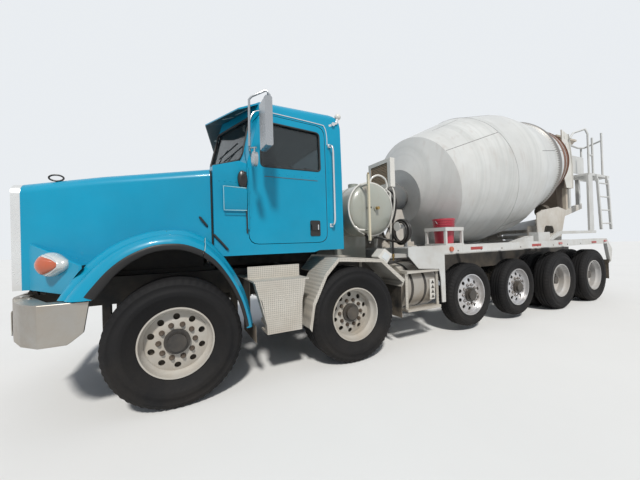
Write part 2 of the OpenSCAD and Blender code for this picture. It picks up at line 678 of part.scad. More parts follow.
module seats() {
    color([0.16, 0.16, 0.18]) for (y = [430, -430]) {
        block([-1500, y - 240, 1560], [-1030, y + 240, 1680]);
        plate_xz(y - 230, y + 230) polygon([[-1500, 1640], [-1380, 1640], [-1480, 2330], [-1590, 2330]]);
        block([-1430, y - 160, cab_floor_z + cab_wall + 30], [-1130, y + 160, 1562]);
    }
}

// Hood

// Crest and arch of the fender, matched point by point: place ahead of the axle and height
front_crest = [[850, 900], [823, 960], [706, 1147], [552, 1312], [390, 1424], [181, 1498], [-5, 1509], [-130, 1492],
    [-246, 1440]];
front_arch = [[662, 860], [610, 915], [522, 1035], [420, 1165], [300, 1263], [150, 1330], [-10, 1342], [-115, 1318],
    [-216, 1272]];
back_crest = [[-254, 1434], [-369, 1314], [-498, 1122], [-595, 925], [-647, 728], [-672, 590]];
back_arch = [[-222, 1266], [-330, 1170], [-442, 1000], [-520, 820], [-562, 660], [-577, 560]];
// Section of the fender shell: distance from the middle, and share of the way from the crest to the arch
function fender_outside(inner_y) = [[inner_y, 0], [1040, 0], [1082, 0.04], [1112, 0.14], [1128, 0.27], [1160, 0.29],
    [1200, 0.38], [1228, 0.52], [fender_y, 0.72], [fender_y, 1]];
function fender_inside(inner_y) = [[inner_y, 0.16], [1030, 0.16], [1066, 0.20], [1090, 0.29], [1104, 0.42],
    [1146, 0.45], [1180, 0.53], [1204, 0.66], [1214, 0.80], [1214, 1]];
function fender_point(c, a, q) = [c[0] + (a[0] - c[0]) * q[1], q[0], c[1] + (a[1] - c[1]) * q[1]];
function fender_loop(c, a, inner_y) = concat([for (q = fender_outside(inner_y)) fender_point(c, a, q)],
    [for (k = [9:-1:0]) fender_point(c, a, fender_inside(inner_y)[k])]);
// Shell over the wheel between the matched curves, and the solid under its outside
module fender_shell(crest, arch, inner_y) {
    c = smooth(crest, 2);
    a = smooth(arch, 2);
    loft([for (i = [0:len(c) - 1]) fender_loop(c[i], a[i], inner_y)]);
}
module under_crest(drop) {
    c = concat(smooth(front_crest, 2), smooth(back_crest, 2));
    n = len(c);
    polygon(concat([for (p = c) [p[0], p[1] - drop]], [[c[n - 1][0], 300], [c[0][0], 300]]));
}
// Half section of the hood at station x, drawn in by d: distance from the middle and height
function hood_side_y(x) = x > 560 ? 800 - (x - 560) * 0.224 : 800 + (560 - x) * 0.182;
function hood_top_z(x) = x > 560 ? 2012 - (x - 560) * 0.145 : 2012 + (560 - x) * 0.1195;
hood_turn = [110, 95];
function hood_half(x, d) = concat([[hood_side_y(x) - d, 1030], [hood_side_y(x) - d, 1500]],
    [for (a = [0:15:90]) [hood_side_y(x) - hood_turn[0] + (hood_turn[0] - d) * cos(a),
        hood_top_z(x) - hood_turn[1] + (hood_turn[1] - d) * sin(a)]],
    [for (f = [0.7, 0.35]) [(hood_side_y(x) - hood_turn[0]) * f, hood_top_z(x) - d + 50 * (1 - f * f)]]);
function reversed(p) = [for (k = [len(p) - 1:-1:0]) p[k]];
function hood_line(x, d) = concat([for (p = hood_half(x, d)) [x, p[0], p[1]]],
    [for (p = reversed(hood_half(x, d))) [x, -p[0], p[1]]]);
hood_stations = [-hood_back, -100, 120, 340, 560, 750, 940, hood_front];
module hood_shell() {
    loft([for (x = hood_stations) concat(hood_line(x, 0), reversed(hood_line(x, hood_wall)))]);
}
// Nose from the grille out to the fenders
module hood_nose() {
    both_sides() hull() {
        block([640, 700, 1000], [660, 1130, 1235]);
        block([hood_front - 60, 560, 1032], [hood_front - 50, 680, 1420]);
    }
}
// Lugs and pin ends of the hood's hinge
module hood_lugs() {
    inner = rail_y - rail_flange;
    both_sides() {
        plate_xz(inner + 14, inner + 34) hull_plate([hood_pivot_x, hood_pivot_z], 22, [1080, 1104], 1060);
        rod_y([hood_pivot_x, inner + 20, hood_pivot_z], 62, pivot_r);
    }
}
module hood() {
    color(teal_paint) {
        difference() {
            union() {
                hood_shell();
                hood_nose();
                hood_lugs();
            }
            plate_xz(-1300, 1300) under_crest(14);
            both_sides() hull() {
                block([600, 600, 900], [632, 1100, 1205]);
                block([hood_front - 100, 500, 900], [hood_front - 90, 640, 1390]);
            }
        }
        both_sides() difference() {
            fender_shell(front_crest, front_arch, 690);
            block([560, 600, 200], [1000, 1300, bumper_top + 6]);
        }
    }
}
module fender_backs() {
    color(teal_paint) both_sides() difference() {
        fender_shell(back_crest, back_arch, cab_y);
        block([-900, 900, 200], [0, 1300, 590]);
    }
}
module grille_outline(d) {
    half = hood_half(hood_front, d);
    polygon(concat(half, [for (p = reversed(half)) [-p[0], p[1]]]));
}
module grille() {
    color(bright_metal) {
        difference() {
            plate_yz(hood_front, hood_front + 60) grille_outline(3);
            difference() {
                plate_yz(hood_front - 1, hood_front + 61) grille_outline(66);
                block([hood_front - 2, -800, 1000], [hood_front + 62, 800, 1092]);
            }
        }
        for (k = [0:12]) block([hood_front + 8, -606, 1124 + k * 54], [hood_front + 40, 606, 1136 + k * 54]);
        block([hood_front + 10, -12, 1090], [hood_front + 50, 12, 1890]);
    }
    // Headlamp pods
    color(white_paint) both_sides() difference() {
        hull() {
            translate([872, 930, 1245]) sphere(r = 96, $fn = 24);
            translate([770, 1025, 1245]) sphere(r = 42, $fn = 24);
        }
        hood_nose();
        plate_xz(680, 1128) under_crest(0);
    }
}

// Doors and mirrors

// Door hinge of five knuckles, of which the door has the second and fourth
hinge_at = [-672, cab_y + 10];
hinge_low = 1510;
knuckle_h = 124;
module hinge_knuckle(k, toward) {
    z = hinge_low + k * knuckle_h;
    translate([hinge_at[0], hinge_at[1], z]) cylinder(h = knuckle_h - run_gap, r = 9, $fn = 24);
    block([min(hinge_at[0], hinge_at[0] + toward), cab_y - 2, z], [max(hinge_at[0], hinge_at[0] + toward), cab_y + 4,
        z + knuckle_h - run_gap]);
}
module door_hinge_cab() {
    for (k = [0, 2, 4]) hinge_knuckle(k, 30);
    translate([hinge_at[0], hinge_at[1], hinge_low]) cylinder(h = 5 * knuckle_h - 1, r = 4, $fn = 24);
}
module door(side) {
    y0 = side > 0 ? door_inner_y : -1100;
    color(teal_paint) {
        intersection() {
            difference() {
                cab_body(0);
                cab_body(cab_wall);
            }
            difference() {
                plate_xz(y0, y0 + 1100 - door_inner_y) door_outline(0);
                plate_xz(y0 - 1, y0 + 1101 - door_inner_y) window_outline(0);
            }
        }
        // Handle and hinge knuckles
        mirror([0, side < 0 ? 1 : 0, 0]) {
            block([-1470, cab_y - 1, 1495], [-1370, cab_y + 26, 1560]);
            difference() {
                for (k = [1, 3]) hinge_knuckle(k, -30);
                translate([hinge_at[0], hinge_at[1], hinge_low]) cylinder(h = 5 * knuckle_h, r = 4 + run_gap, $fn = 24);
            }
        }
    }
}
module door_glass(side) {
    color([0.3, 0.36, 0.4, 0.5]) mirror([0, side < 0 ? 1 : 0, 0]) intersection() {
        difference() {
            cab_body(cab_wall / 2 - glass_t / 2);
            cab_body(cab_wall / 2 + glass_t / 2);
        }
        plate_xz(600, 1100) window_outline(0);
    }
}
module mirror_set(side) {
    mirror([0, side < 0 ? 1 : 0, 0]) {
        color(bright_metal) {
            difference() {
                union() {
                    hose_piece([[-735, cab_y - 30, 2215], [-640, 1260, 2233], [-632, 1290, 2260], [-640, 1290, 2690],
                        [-665, 1295, 2722], [-790, 1335, 2785], [-822, 1335, 2750], [-822, 1335, 2290],
                        [-805, 1325, 2265], [-780, 1300, 2260]], [0, 1, 0], 11);
                    hose_piece([[-806, 1335, 2767], [-880, 1000, eaves_z - 180], [-880, 920, eaves_z - 235]],
                        [1, 0, 0], 8);
                }
                cab_body(0);
            }
            // Housing of the flat glass, with its top and bottom clamps
            plate_xz(1245, 1435) polygon(soft([[-815, 2240], [-745, 2240], [-745, 2690], [-815, 2690]], 20));
            // Round wide-angle mirror on its stalk
            bar([-665, 1340, 2235], [-665, 1340, 2130], 8);
            bar([-636, 1277, 2246], [-680, 1345, 2235], 8);
            translate([-665, 1340, 2130]) rotate([0, 90, 0]) cylinder(h = 34, r = 66, center = true);
        }
    }
}

// Mixer body

module body_frame() {
    color(white_paint) {
        // Subframe on the rails
        both_sides() block([-8330, rail_y - 90, frame_top], [-2700, rail_y, deck_top - 20]);
        for (x = [-2760, -4100, -5300, -6500, -8290]) block([x - 40, -rail_y + 80, frame_top + 20],
            [x + 40, rail_y - 80, deck_top - 40]);
        // Side decks on their outriggers
        both_sides() {
            difference() {
                block([-8150, deck_y - 200, deck_top - deck_h], [-2590, deck_y, deck_top]);
                block([-8160, deck_y - 201, deck_top - deck_h - 1], [-2580, deck_y - 12, deck_top - 14]);
            }
            for (x = [-2740, -3300, -4460, -5700, -6980, -8130]) block([x - 30, rail_y - 10, deck_top - 90],
                [x + 30, deck_y - 10, deck_top - 14]);
            // Angled tail of the deck rail
            plate_xz(deck_y - 60, deck_y) polygon([[-8150, deck_top], [-8150, deck_top - deck_h], [-8230, 930],
                [-8300, 760], [-8340, 770], [-8400, 1030]]);
            // Front side panel and its top cap
            plate_xz(deck_y - 12, deck_y) polygon([[-2590, 1205], [-2650, deck_top], [-3230, deck_top], [-3230, 510],
                [-3165, 510], [-3150, 830], [-3120, 960], [-2760, 985], [-2590, 1150]]);
            block([-2760, deck_y - 150, deck_top - 15], [-2650, deck_y, deck_top + 8]);
            // Wedge and box on the deck
            plate_xz(deck_y - 190, deck_y - 60) polygon([[-4900, deck_top - 14], [-5500, deck_top - 14], [-5500, 1360]]);
            block([-5990, deck_y - 190, deck_top - 14], [-5620, deck_y - 40, 1420]);
        }
        // Bucket holder and hose peg on the left deck
        bucket_holder();
        peg_z = coil_at[2] + coil_r - coil_tube_r - 28 - run_gap;
        x = coil_at[0];
        block([x - 100, coil_at[1] - 15, deck_top - 14], [x - 60, coil_at[1] + 15, peg_z + 20]);
        bar_x(x - 80, x + 65, coil_at[1], peg_z, 28);
        bar_x(x + 58, x + 65, coil_at[1], peg_z, 60);
    }
}
coil_at = [-2640, 1040, 1460];
coil_r = 145;
coil_tube_r = 45;
bucket_at = [-3606, 905];
holder_r = 192;
module bucket_holder() {
    z = deck_top;
    low = [bucket_at[0] - holder_r, bucket_at[1] - holder_r, 0];
    block(low + [0, 0, z], low + [2 * holder_r, 2 * holder_r, z + 22]);
    block(low + [0, 0, z - 14], low + [2 * holder_r, 130, z + 1]);
    for (dx = [6, 2 * holder_r - 40], dy = [6, 2 * holder_r - 40])
        block(low + [dx, dy, z + 20], low + [dx + 34, dy + 34, z + 210]);
    difference() {
        block(low + [0, 0, z + 205], low + [2 * holder_r, 2 * holder_r, z + 257]);
        rod_z([bucket_at[0], bucket_at[1], z], 300, bucket_r + 10);
    }
}
module bucket() {
    color([0.72, 0.05, 0.1]) translate([bucket_at[0], bucket_at[1], deck_top + 22 + run_gap]) {
        rotate_extrude() polygon([[0, 0], [bucket_r - 20, 0], [bucket_r, bucket_h - 30], [bucket_r + 9, bucket_h - 28],
            [bucket_r + 9, bucket_h], [0, bucket_h]]);
        rod_z([0, 0, 305], 8, bucket_r + 8);
    }
}
water_at = [-2275, 1765];
head_depth = 100;
gland_at = [-2372, 800, 1400];
module water_tank() {
    w = water_len / 2;
    color([0.62, 0.63, 0.60]) {
        rod_y([water_at[0], -w, water_at[1]], water_len, water_r);
        // Dished heads with a flanged joint
        both_sides() translate([water_at[0], w - 10, water_at[1]]) wheel_axis() {
            cylinder(h = 22, r = water_r + 5);
            rotate_extrude() polygon(concat([[0, 0]], [for (a = [0:10:90]) [(water_r - 8) * cos(a), 14 + head_depth * sin(a)]]));
            cylinder(h = head_depth + 32, r = 34);
        }
        // Bands and saddles down to the rails
        for (y = [-620, 0, 620]) rod_y([water_at[0], y - 25, water_at[1]], 50, water_r + 6);
        both_sides() difference() {
            block([water_at[0] - 240, rail_y - 90, frame_top], [water_at[0] + 240, rail_y - 10, water_at[1] - 60]);
            rod_y([water_at[0], 0, water_at[1]], 900, water_r - 2);
        }
        // Filler neck on top
        rod_z([water_at[0], 500, water_at[1] + water_r - 20], 70, 70);
        // Square gauge post with its two pipes into the head
        block([-2113, 1085, 1360], [-2087, 1111, 2160]);
        for (z = [2040, 1490]) bar([-2100, 1098, z], [-2100, w - 5, z], 12);
        // Outlet of the wash hose
        rod_z([gland_at[0] + 32, gland_at[1], gland_at[2]], 60, 22);
        translate([gland_at[0] + 32, gland_at[1], gland_at[2]]) sphere(r = 22.1);
        bar_x(gland_at[0], gland_at[0] + 32, gland_at[1], gland_at[2], 18);
    }
}
// Wash hose: from the tank's outlet to the coil, and from the coil down to the nozzle
hose_r = 14;
hose_in = smooth([gland_at - [run_gap, 0, 0], [-2440, 802, 1397], [-2530, 830, 1378], [-2590, 900, 1352], [-2609, 980, 1334],
    [-2609, 1040, 1329]], 3);
hose_out = smooth([[-2640, 881, 1460], [-2640, 881, 1405], [-2636, 885, 1330], [-2629, 893, 1260], [-2626, 898, 1210],
    [-2626, 898, 1170]], 3);
function unit(v) = v / norm(v);
function course(p, i) = unit(p[min(i + 1, len(p) - 1)] - p[max(i - 1, 0)]);
function ring(c, u, v, r) = [for (a = [0:36:324]) c + r * (cos(a) * u + sin(a) * v)];
module hose_piece(p, up, r = hose_r) {
    loft([for (i = [0:len(p) - 1]) ring(p[i], unit(cross(up, course(p, i))),
        cross(course(p, i), unit(cross(up, course(p, i)))), r)]);
}
module hose_run() {
    color(black_rubber) {
        hose_piece(hose_in, [0, 0, 1]);
        hose_piece(hose_out, [1, 0, 0]);
    }
}
module hose_nozzle() {
    end = hose_out[len(hose_out) - 1];
    color([0.7, 0.55, 0.25]) translate([end[0], end[1], end[2] - 120 - run_gap]) rotate_extrude() polygon([[0, 0], [13, 0], [15, 20],
        [10, 30], [11, 70], [18, 80], [18, 112], [16, 120], [0, 120]]);
}
module oil_cooler() {
    color(white_paint) {
        difference() {
            block([-2740, 360, 2095], [-2660, 850, 2495]);
            block([-2680, 420, 2150], [-2650, 790, 2440]);
        }
        for (k = [0:11]) block([-2682, 419, 2162 + k * 23], [-2668, 791, 2174 + k * 23]);
        rod_x([-2800, 605, 2295], 62, 165);
        // Stand down to the deck beam
        for (y = [[400, 400, 20 - run_gap], [610, 396, 14]]) bar([-2725, y[0], 2100], [-2725, y[1], deck_top - y[2]], 20);
        tube_run([[-2690, 700, 2100], [-2690, 700, 2010], [-2800, 640, 1960], [-2900, 420, 1960], [-2960, 250, 1950]], 17);
    }
}
module front_pedestal() {
    color(white_paint) {
        both_sides() plate_xz(300, 330) polygon([[-2900, deck_top - 20], [-3540, deck_top - 20], [-3330, 1850], [-3190, 1850]]);
        // Bearing cradle, cross ribs and the flanged feet
        block([-3330, -330, 1640], [-3190, 330, 1700]);
        both_sides() plate_yz(-3290, -3240) polygon([[270, 1420], [300, 1420], [300, 1700], [120, 1700]]);
        both_sides() block([-3560, 330, deck_top - 20], [-2890, 345, deck_top + 60]);
        block([-3330, -330, 1400], [-3010, 330, 1420]);
        both_sides() block([-3540, 300, deck_top - 20], [-2900, rail_y - 12, deck_top]);
    }
}
drum_start = [-3000, 0, drum_z];
// Drum axis: local +Z runs up and back along the drum
module drum_axis() { translate(drum_start) rotate([0, drum_tilt - 90, 0]) children(); }
module drum_drive() {
    color([0.42, 0.47, 0.5]) {
        drum_axis() {
            rod_z([0, 0, 150], 330, 270);
            rod_z([0, 0, 440], 180 - run_gap, 190);
            rod_z([0, 0, -260], 420, 150);
        }
        block([-3340, -260, 1700], [-3190, 260, 1850]);
    }
}

// Profile of the drum, by column: distance along the axis and outer radius
drum_profile = [[622, drum_front_r], [965, 974], [2065, drum_r - 4], [2909, drum_r], [4599, band_r], [4860, mouth_r]];
track_s = 3900;
module drum() {
    n = len(drum_profile);
    color(white_paint) drum_axis() {
        difference() {
            rotate_extrude($fn = 120) polygon(concat([[0, 622]], [for (p = drum_profile) [p[1], p[0]]], [[0, 4860]]));
            rotate_extrude($fn = 120) polygon(concat([[0, 622 + drum_wall]],
                [for (k = [0:n - 1]) [drum_profile[k][1] - drum_wall, drum_profile[k][0] + (k < 2 ? drum_wall * 0.9 : 0)]],
                [[mouth_r - drum_wall, 4900], [0, 4900]]));
        }
        // Rolled ring at the mouth and the weld beads of the courses
        for (b = [[mouth_r, 4848, 20, 10], [drum_r, 2065, 1, 6], [band_r, 4599, 12, 7]]) rotate_extrude($fn = 120)
            polygon([[b[0] - 8, b[1] - b[3]], [b[0] + b[2], b[1] - 5], [b[0] + b[2], b[1] + 5], [b[0] - 8, b[1] + b[3]]]);
        for (turn = [0, 180]) drum_fin(turn);
        // Track ring on the rear cone
        rotate_extrude($fn = 120) polygon([[shell_r(track_s - track_w / 2 - 30) + 6, track_s - track_w / 2 - 30],
            [track_r, track_s - track_w / 2], [track_r, track_s + track_w / 2],
            [shell_r(track_s + track_w / 2 + 30) + 6, track_s + track_w / 2 + 30]]);
    }
}
// Inner radius of the drum at a distance along its axis
function shell_r(s) = lookup(s, drum_profile) - drum_wall;
// Helical fin, its edge sunk in the shell
fin_depth = 230;
fin_from = 1150;
fin_to = 4500;
fin_steps = 32;
function fin_loop(f, turn) = [for (q = [[5, 7], [5, -7], [-fin_depth, 53], [-fin_depth, 67]])
    [(shell_r(fin_from + (fin_to - fin_from) * f) + q[0]) * cos(turn + f * 560),
        (shell_r(fin_from + (fin_to - fin_from) * f) + q[0]) * sin(turn + f * 560),
        fin_from + (fin_to - fin_from) * f + q[1]]];
module drum_fin(turn) { loft([for (k = [0:fin_steps]) fin_loop(k / fin_steps, turn)]); }
roller_angle = 30;
module roller_place(side) {
    drum_axis() rotate([0, 0, -side * roller_angle])
        translate([-(track_r + roller_r + run_gap), 0, track_s]) children();
}
module roller(side) {
    color(dark_steel) roller_place(side) difference() {
        rod_z([0, 0, -55], 110, roller_r);
        rod_z([0, 0, -56], 112, 30 + run_gap);
    }
}
// Upper and lower edge of the sloping rear beams
function beam_top(x) = 1745 + (-7350 - x) * 0.2344;
function beam_low(x) = 1600 + (-7300 - x) * 0.2364;
module rear_pedestal() {
    color(white_paint) {
        both_sides() {
            // Side plates under the rollers
            difference() {
                plate_xz(520, 540) polygon([[-6690, deck_top - 14], [-7460, deck_top - 14], [-7300, 1700], [-7080, 1700],
                    [-6900, 1700]]);
                plate_xz(519, 541) polygon([[-6880, 1340], [-7320, 1340], [-7210, 1560], [-6990, 1560]]);
            }
            block([-7460, rail_y - rail_flange, deck_top - 20], [-6690, rail_y - 12, deck_top]);
            block([-7460, rail_y - rail_flange, deck_top - 14], [-6690, 540, deck_top]);
            // Bearing blocks and pin of the roller
            roller_place(1) {
                rod_z([0, 0, -110], 220, 30);
                for (z = [-110, 70]) translate([-190, -50, z]) cube([215, 100, 40]);
            }
            block([-7180, 480, 1600], [-6950, 640, 1712]);
            // Outer cheek in front of the roller, on its foot
            difference() {
                plate_xz(735, 750) polygon([[-6480, deck_top], [-7380, deck_top], [-7420, 1400], [-7620, 1900], [-7300, 1960],
                    [-6700, 1880], [-6460, 1800]]);
                plate_xz(734, 751) polygon(soft([[-6700, 1400], [-7120, 1400], [-7060, 1560], [-6760, 1560]], 60));
            }
            block([-7380, 640, deck_top - 14], [-6480, 750, deck_top + 12]);
            for (x = [-6560, -7300]) block([x, 538, 1500], [x + 40, 736, 1560]);
            block([-6560, 538, deck_top], [-6520, 736, 1500]);
            block([-7300, 541, deck_top], [-7260, 736, 1500]);
            // Sloping beam to the rear that carries the hopper
            plate_xz(440, 521) polygon([[-6960, 1700], [-7300, beam_low(-7300)], [-8420, beam_low(-8420)],
                [-8420, beam_top(-8420)], [-7350, beam_top(-7350)]]);
        }
        // On the left the beam runs on under the platform
        plate_xz(440, 521) polygon([[-8419, beam_low(-8419)], [430 - rear_reach, beam_low(430 - rear_reach)],
            [430 - rear_reach, beam_top(430 - rear_reach)], [-8419, beam_top(-8419)]]);
        block([-7300, -525, 1420], [-7240, 525, 1500]);
        block([-6900, -525, 1290], [-6840, 525, 1370]);
        // Bracket and post of the chute swivel, behind the rails
        block([chute_x - 90, -110, frame_top - 200], [-frame_rear, 110, frame_top - 120]);
        block([-frame_rear - 60, -rail_y, frame_top - 200], [-frame_rear, rail_y, frame_top - 120]);
        rod_z([chute_x, 0, frame_top - 130], post_foot_z - frame_top + 130, 80);
        rod_z([chute_x, 0, post_foot_z - 10], 132, post_r);
    }
}

// Rear equipment

// Sheet funnel between two level rims, each given as its ends along the truck, half width and height
module funnel_form(top, low, t) {
    hull() for (r = [top, low]) block([r[0] + t, t - r[2], r[3]], [r[1] - t, r[2] - t, r[3] + 20]);
}
module funnel(top, low, t) {
    difference() {
        funnel_form(top, low, 0);
        funnel_form(top + [0, 0, 0, 1], low - [0, 0, 0, 1], t);
    }
}
module charge_hopper() {
    color([0.82, 0.80, 0.74]) {
        both_sides() {
            // Shroud plates beside the mouth
            plate_xz(600, 620) polygon([[-7860, 3740], [-8150, 3660], [-8290, 2990], [-8270, 2430], [-8000, 2430],
                [-7860, 2800]]);
            // Posts down to the beams
            plate_xz(450, 520) polygon([[-8270, beam_top(-8270) + 0.3], [-8190, beam_top(-8190) + 0.3], [-8190, 2460],
                [-8270, 2460]]);
            block([-8270, 450, 2430], [-8190, 620, 2460]);
        }
        // Charging hopper
        funnel([-8800, -7900, 500, 3640], [-8300, -7900, 260, 3060], 14);
        both_sides() block([-8200, 443, 3500], [-8100, 602, 3560]);
        // Rim of the hopper, its ribs, and the flanges of the shrouds
        difference() {
            block([-8815, -515, 3625], [-7885, 515, 3668]);
            block([-8785, -485, 3600], [-7915, 485, 3700]);
        }
        both_sides() {
            plate_xz(612, 640) polygon([[-8128, 3672], [-8150, 3660], [-8290, 2990], [-8270, 2430], [-8246, 2430],
                [-8264, 2992]]);
            for (k = [0:2]) block([-7990 - k * 40, 619, 3560 - k * 260], [-7960 - k * 40, 628, 3700 - k * 260]);
        }
        // Discharge collector below the mouth
        funnel([-8500, -7900, 430, 2700], [-8860, -8560, 200, 1960], 12);
        both_sides() block([-8290, 415, 2670], [-8230, 602, 2715]);
    }
}
module platform() {
    top = 2740;
    post = 20;
    rear = -rear_reach;
    color(white_paint) {
        // Grating in its frame
        difference() {
            block([rear, 450, top - 50], [rear + 1040, 900, top]);
            for (k = [0:8]) block([rear + 40 + k * 110, 490, top - 51], [rear + 125 + k * 110, 860, top + 1]);
        }
        // Supports from the sloping beam
        for (x = [rear + 480, rear + 950]) plate_xz(450, 520) polygon([[x, beam_top(x) + 0.3],
            [x + 80, beam_top(x + 80) + 0.3], [x + 80, top - 49], [x, top - 49]]);
        // Panel beside the hopper, on two inner posts
        for (x = [rear + 880, rear + 320]) bar([x, 500, top - 10], [x, 500, 3480], post);
        block([rear + 290, 500 + post - 2, 2830], [rear + 910, 500 + post + 10, 3250]);
        tube_run([[-8120, 640 + post + run_gap, 3560], [-8230, 680, 3690], [rear + 1020, 850, 3740],
            [rear + 1000, 885, 3620], [rear + 1000, 885, top - 10]], post);
        tube_run([[-8250, 500, 3520], [rear + 480, 500, 3480], [rear + 320, 560, 3480], [rear + 320, 885, 3560]], post);
        bar([rear + 800, 885, top - 10], [rear + 800, 885, 3560], post);
        bar([rear + 320, 885, top - 10], [rear + 320, 885, 3740], post);
        bar([rear + 1000, 885, 3150], [rear + 800, 885, 3150], post);
        block([rear + 880, 860, 1380], [rear + 1080, 900, top - 45]);
        block([rear + 790, 840, 1380], [-7050, 900, 1440]);
        plate_xz(840, 900) polygon([[-7050, 1440], [-7050, 1380], [-6700, deck_top - 2], [-6560, deck_top - 2]]);
        for (y = [[540, 734.7], [750.3, 850]]) block([-7450, y[0], 1390], [-7390, y[1], 1430]);
        for (x = [rear + 720, rear + 200]) {
            plate_xz(905, 945) polygon([[x - 30, 2620], [x + 30, 2620], [x - 90, 1460], [x - 150, 1460]]);
            block([x - 30, 895, 2560], [x + 30, 930, top - 20]);
        }
        for (k = [0:3]) bar_x(rear + 100 + k * 32, rear + 620 + k * 32, 925, 1600 + 310 * k, 16);
    }
}
// Wash hose, coiled on its peg
module wash_hose() {
    color(black_rubber) translate(coil_at) rotate([0, 90, 0])
        rotate_extrude() translate([coil_r, 0]) circle(r = coil_tube_r);
}
module marker_lamps() {
    for (s = [-1, 1]) {
        color([0.95, 0.45, 0.1]) translate([-3360, s * deck_y, deck_top - 50]) rotate([-90 * s, 0, 0]) cylinder(h = 22, r = 34);
        for (x = [-6240, -8060]) color([0.7, 0.06, 0.06])
            translate([x, s * deck_y, deck_top - 52]) rotate([-90 * s, 0, 0]) linear_extrude(14)
                square([110, 34], center = true);
        color(black_rubber) translate([-575, s * cab_y, 2000]) rotate([-90 * s, 0, 0]) cylinder(h = 60, r = 62);
    }
}

// Chutes, stowed: swung to the right, the fold-over chute upside down on the main one

chute_x = -8720;
chute_hinge_z = 1600;
chute_rest = 8;
chute_out = chute_r + chute_wall;
chute_pin_r = 18;
fold_pin_r = 9;
lug_at = [-700, -310];
barrel_at = [-125, -430];
post_r = 50;
post_foot_z = 1130;
// Frame of the main chute: origin on its tilt axis, -Y along the trough
module chute_frame() { translate([chute_x, 0, chute_hinge_z]) rotate([chute_rest, 0, 0]) children(); }
module trough(from_y, to_y) {
    translate([0, from_y, 0]) rotate([90, 0, 0]) linear_extrude(from_y - to_y) difference() {
        circle(r = chute_out, $fn = 72);
        circle(r = chute_r, $fn = 72);
        translate([-chute_out - 10, 0]) square([2 * chute_out + 20, chute_out + 10]);
    }
}
module each_side_x() {
    children();
    mirror([1, 0, 0]) children();
}
module bar_x(x0, x1, y, z, r) { rod_x([x0, y, z], x1 - x0, r); }
module chute_swivel() {
    arm = chute_out + 36;
    color(white_paint) {
        translate([chute_x, 0, 0]) difference() {
            union() {
                rod_z([0, 0, post_foot_z + run_gap], 125, 85);
                    block([-arm - 20, -55, post_foot_z + 80], [arm + 20, 55, post_foot_z + 125]);
                each_side_x() {
                    block([arm, -55, post_foot_z + 80], [arm + 20, 55, chute_hinge_z]);
                    bar_x(arm, arm + 20, 0, chute_hinge_z, 55);
                    bar_x(chute_out + 2, arm + 10, 0, chute_hinge_z, chute_pin_r);
                    // Lugs of the lift cylinder
                    block([34, barrel_at[0] - 34, post_foot_z + 10], [48, -40, chute_hinge_z + barrel_at[1] + 34]);
                    bar_x(30.6, 48, barrel_at[0], chute_hinge_z + barrel_at[1], 12);
                }
            }
            rod_z([0, 0, post_foot_z - 10], 160, post_r + run_gap);
        }
    }
}
module main_chute() {
    color(white_paint) chute_frame() {
        trough(60, -chute_len);
        each_side_x() {
            // Bosses on the yoke's pins
            difference() {
                bar_x(chute_out - 8, chute_out + 32, 0, 0, 44);
                bar_x(chute_out, chute_out + 40, 0, 0, chute_pin_r + run_gap);
                translate([0, -60, 1]) cube([chute_r, 120, 60]);
            }
            // Ears and pins of the fold-over hinge
            block([chute_out - 6, -chute_len + 2, -40], [chute_out + 15, -chute_len + 90, -4]);
            block([chute_out + 5, -chute_len - 30, -40], [chute_out + 15, -chute_len + 90, 22]);
            bar_x(chute_out + 10, chute_out + 38, -chute_len - 12, 4, fold_pin_r);
            // Lugs of the lift cylinder's eye, open below
            block([26, lug_at[0] - 40, lug_at[1] - 10], [38, lug_at[0] + 40, -chute_r - 2]);
        }
    }
}
module fold_chute() {
    color(white_paint) chute_frame() {
        translate([0, 0, 8]) mirror([0, 0, 1]) trough(-200, -chute_len - 6);
        each_side_x() {
            difference() {
                block([chute_out + 18, -chute_len - 34, -12], [chute_out + 34, -chute_len + 110, 60]);
                bar_x(chute_out, chute_out + 60, -chute_len - 12, 4, fold_pin_r + run_gap);
            }
            block([chute_out - 6, -chute_len + 30, 30], [chute_out + 19, -chute_len + 110, 60]);
        }
    }
}
// Local +Z of the lift cylinder runs from its foot to the chute
lug_world = [lug_at[0] * cos(chute_rest) - lug_at[1] * sin(chute_rest),
    lug_at[0] * sin(chute_rest) + lug_at[1] * cos(chute_rest)];
lift_len = norm(lug_world - barrel_at);
lift_angle = atan2(lug_world[1] - barrel_at[1], barrel_at[0] - lug_world[0]);
module lift_frame() {
    translate([chute_x, barrel_at[0], chute_hinge_z + barrel_at[1]]) rotate([90 - lift_angle, 0, 0]) children();
}
barrel_len = 340;
rod_r = 16;
module lift_barrel() {
    color(dark_steel) lift_frame() difference() {
        union() {
            bar_x(-30, 30, 0, 0, 26);
            cylinder(h = barrel_len, r = 32);
        }
        bar_x(-40, 40, 0, 0, 12 + run_gap);
        rod_z([0, 0, 60], barrel_len, rod_r + run_gap);
    }
}
module lift_rod() {
    color(bright_metal) lift_frame() difference() {
        union() {
            rod_z([0, 0, 190], lift_len - 190, rod_r);
            translate([0, 0, lift_len]) bar_x(-20, 20, 0, 0, 26);
        }
        translate([0, 0, lift_len]) bar_x(-30, 30, 0, 0, 12);
    }
}

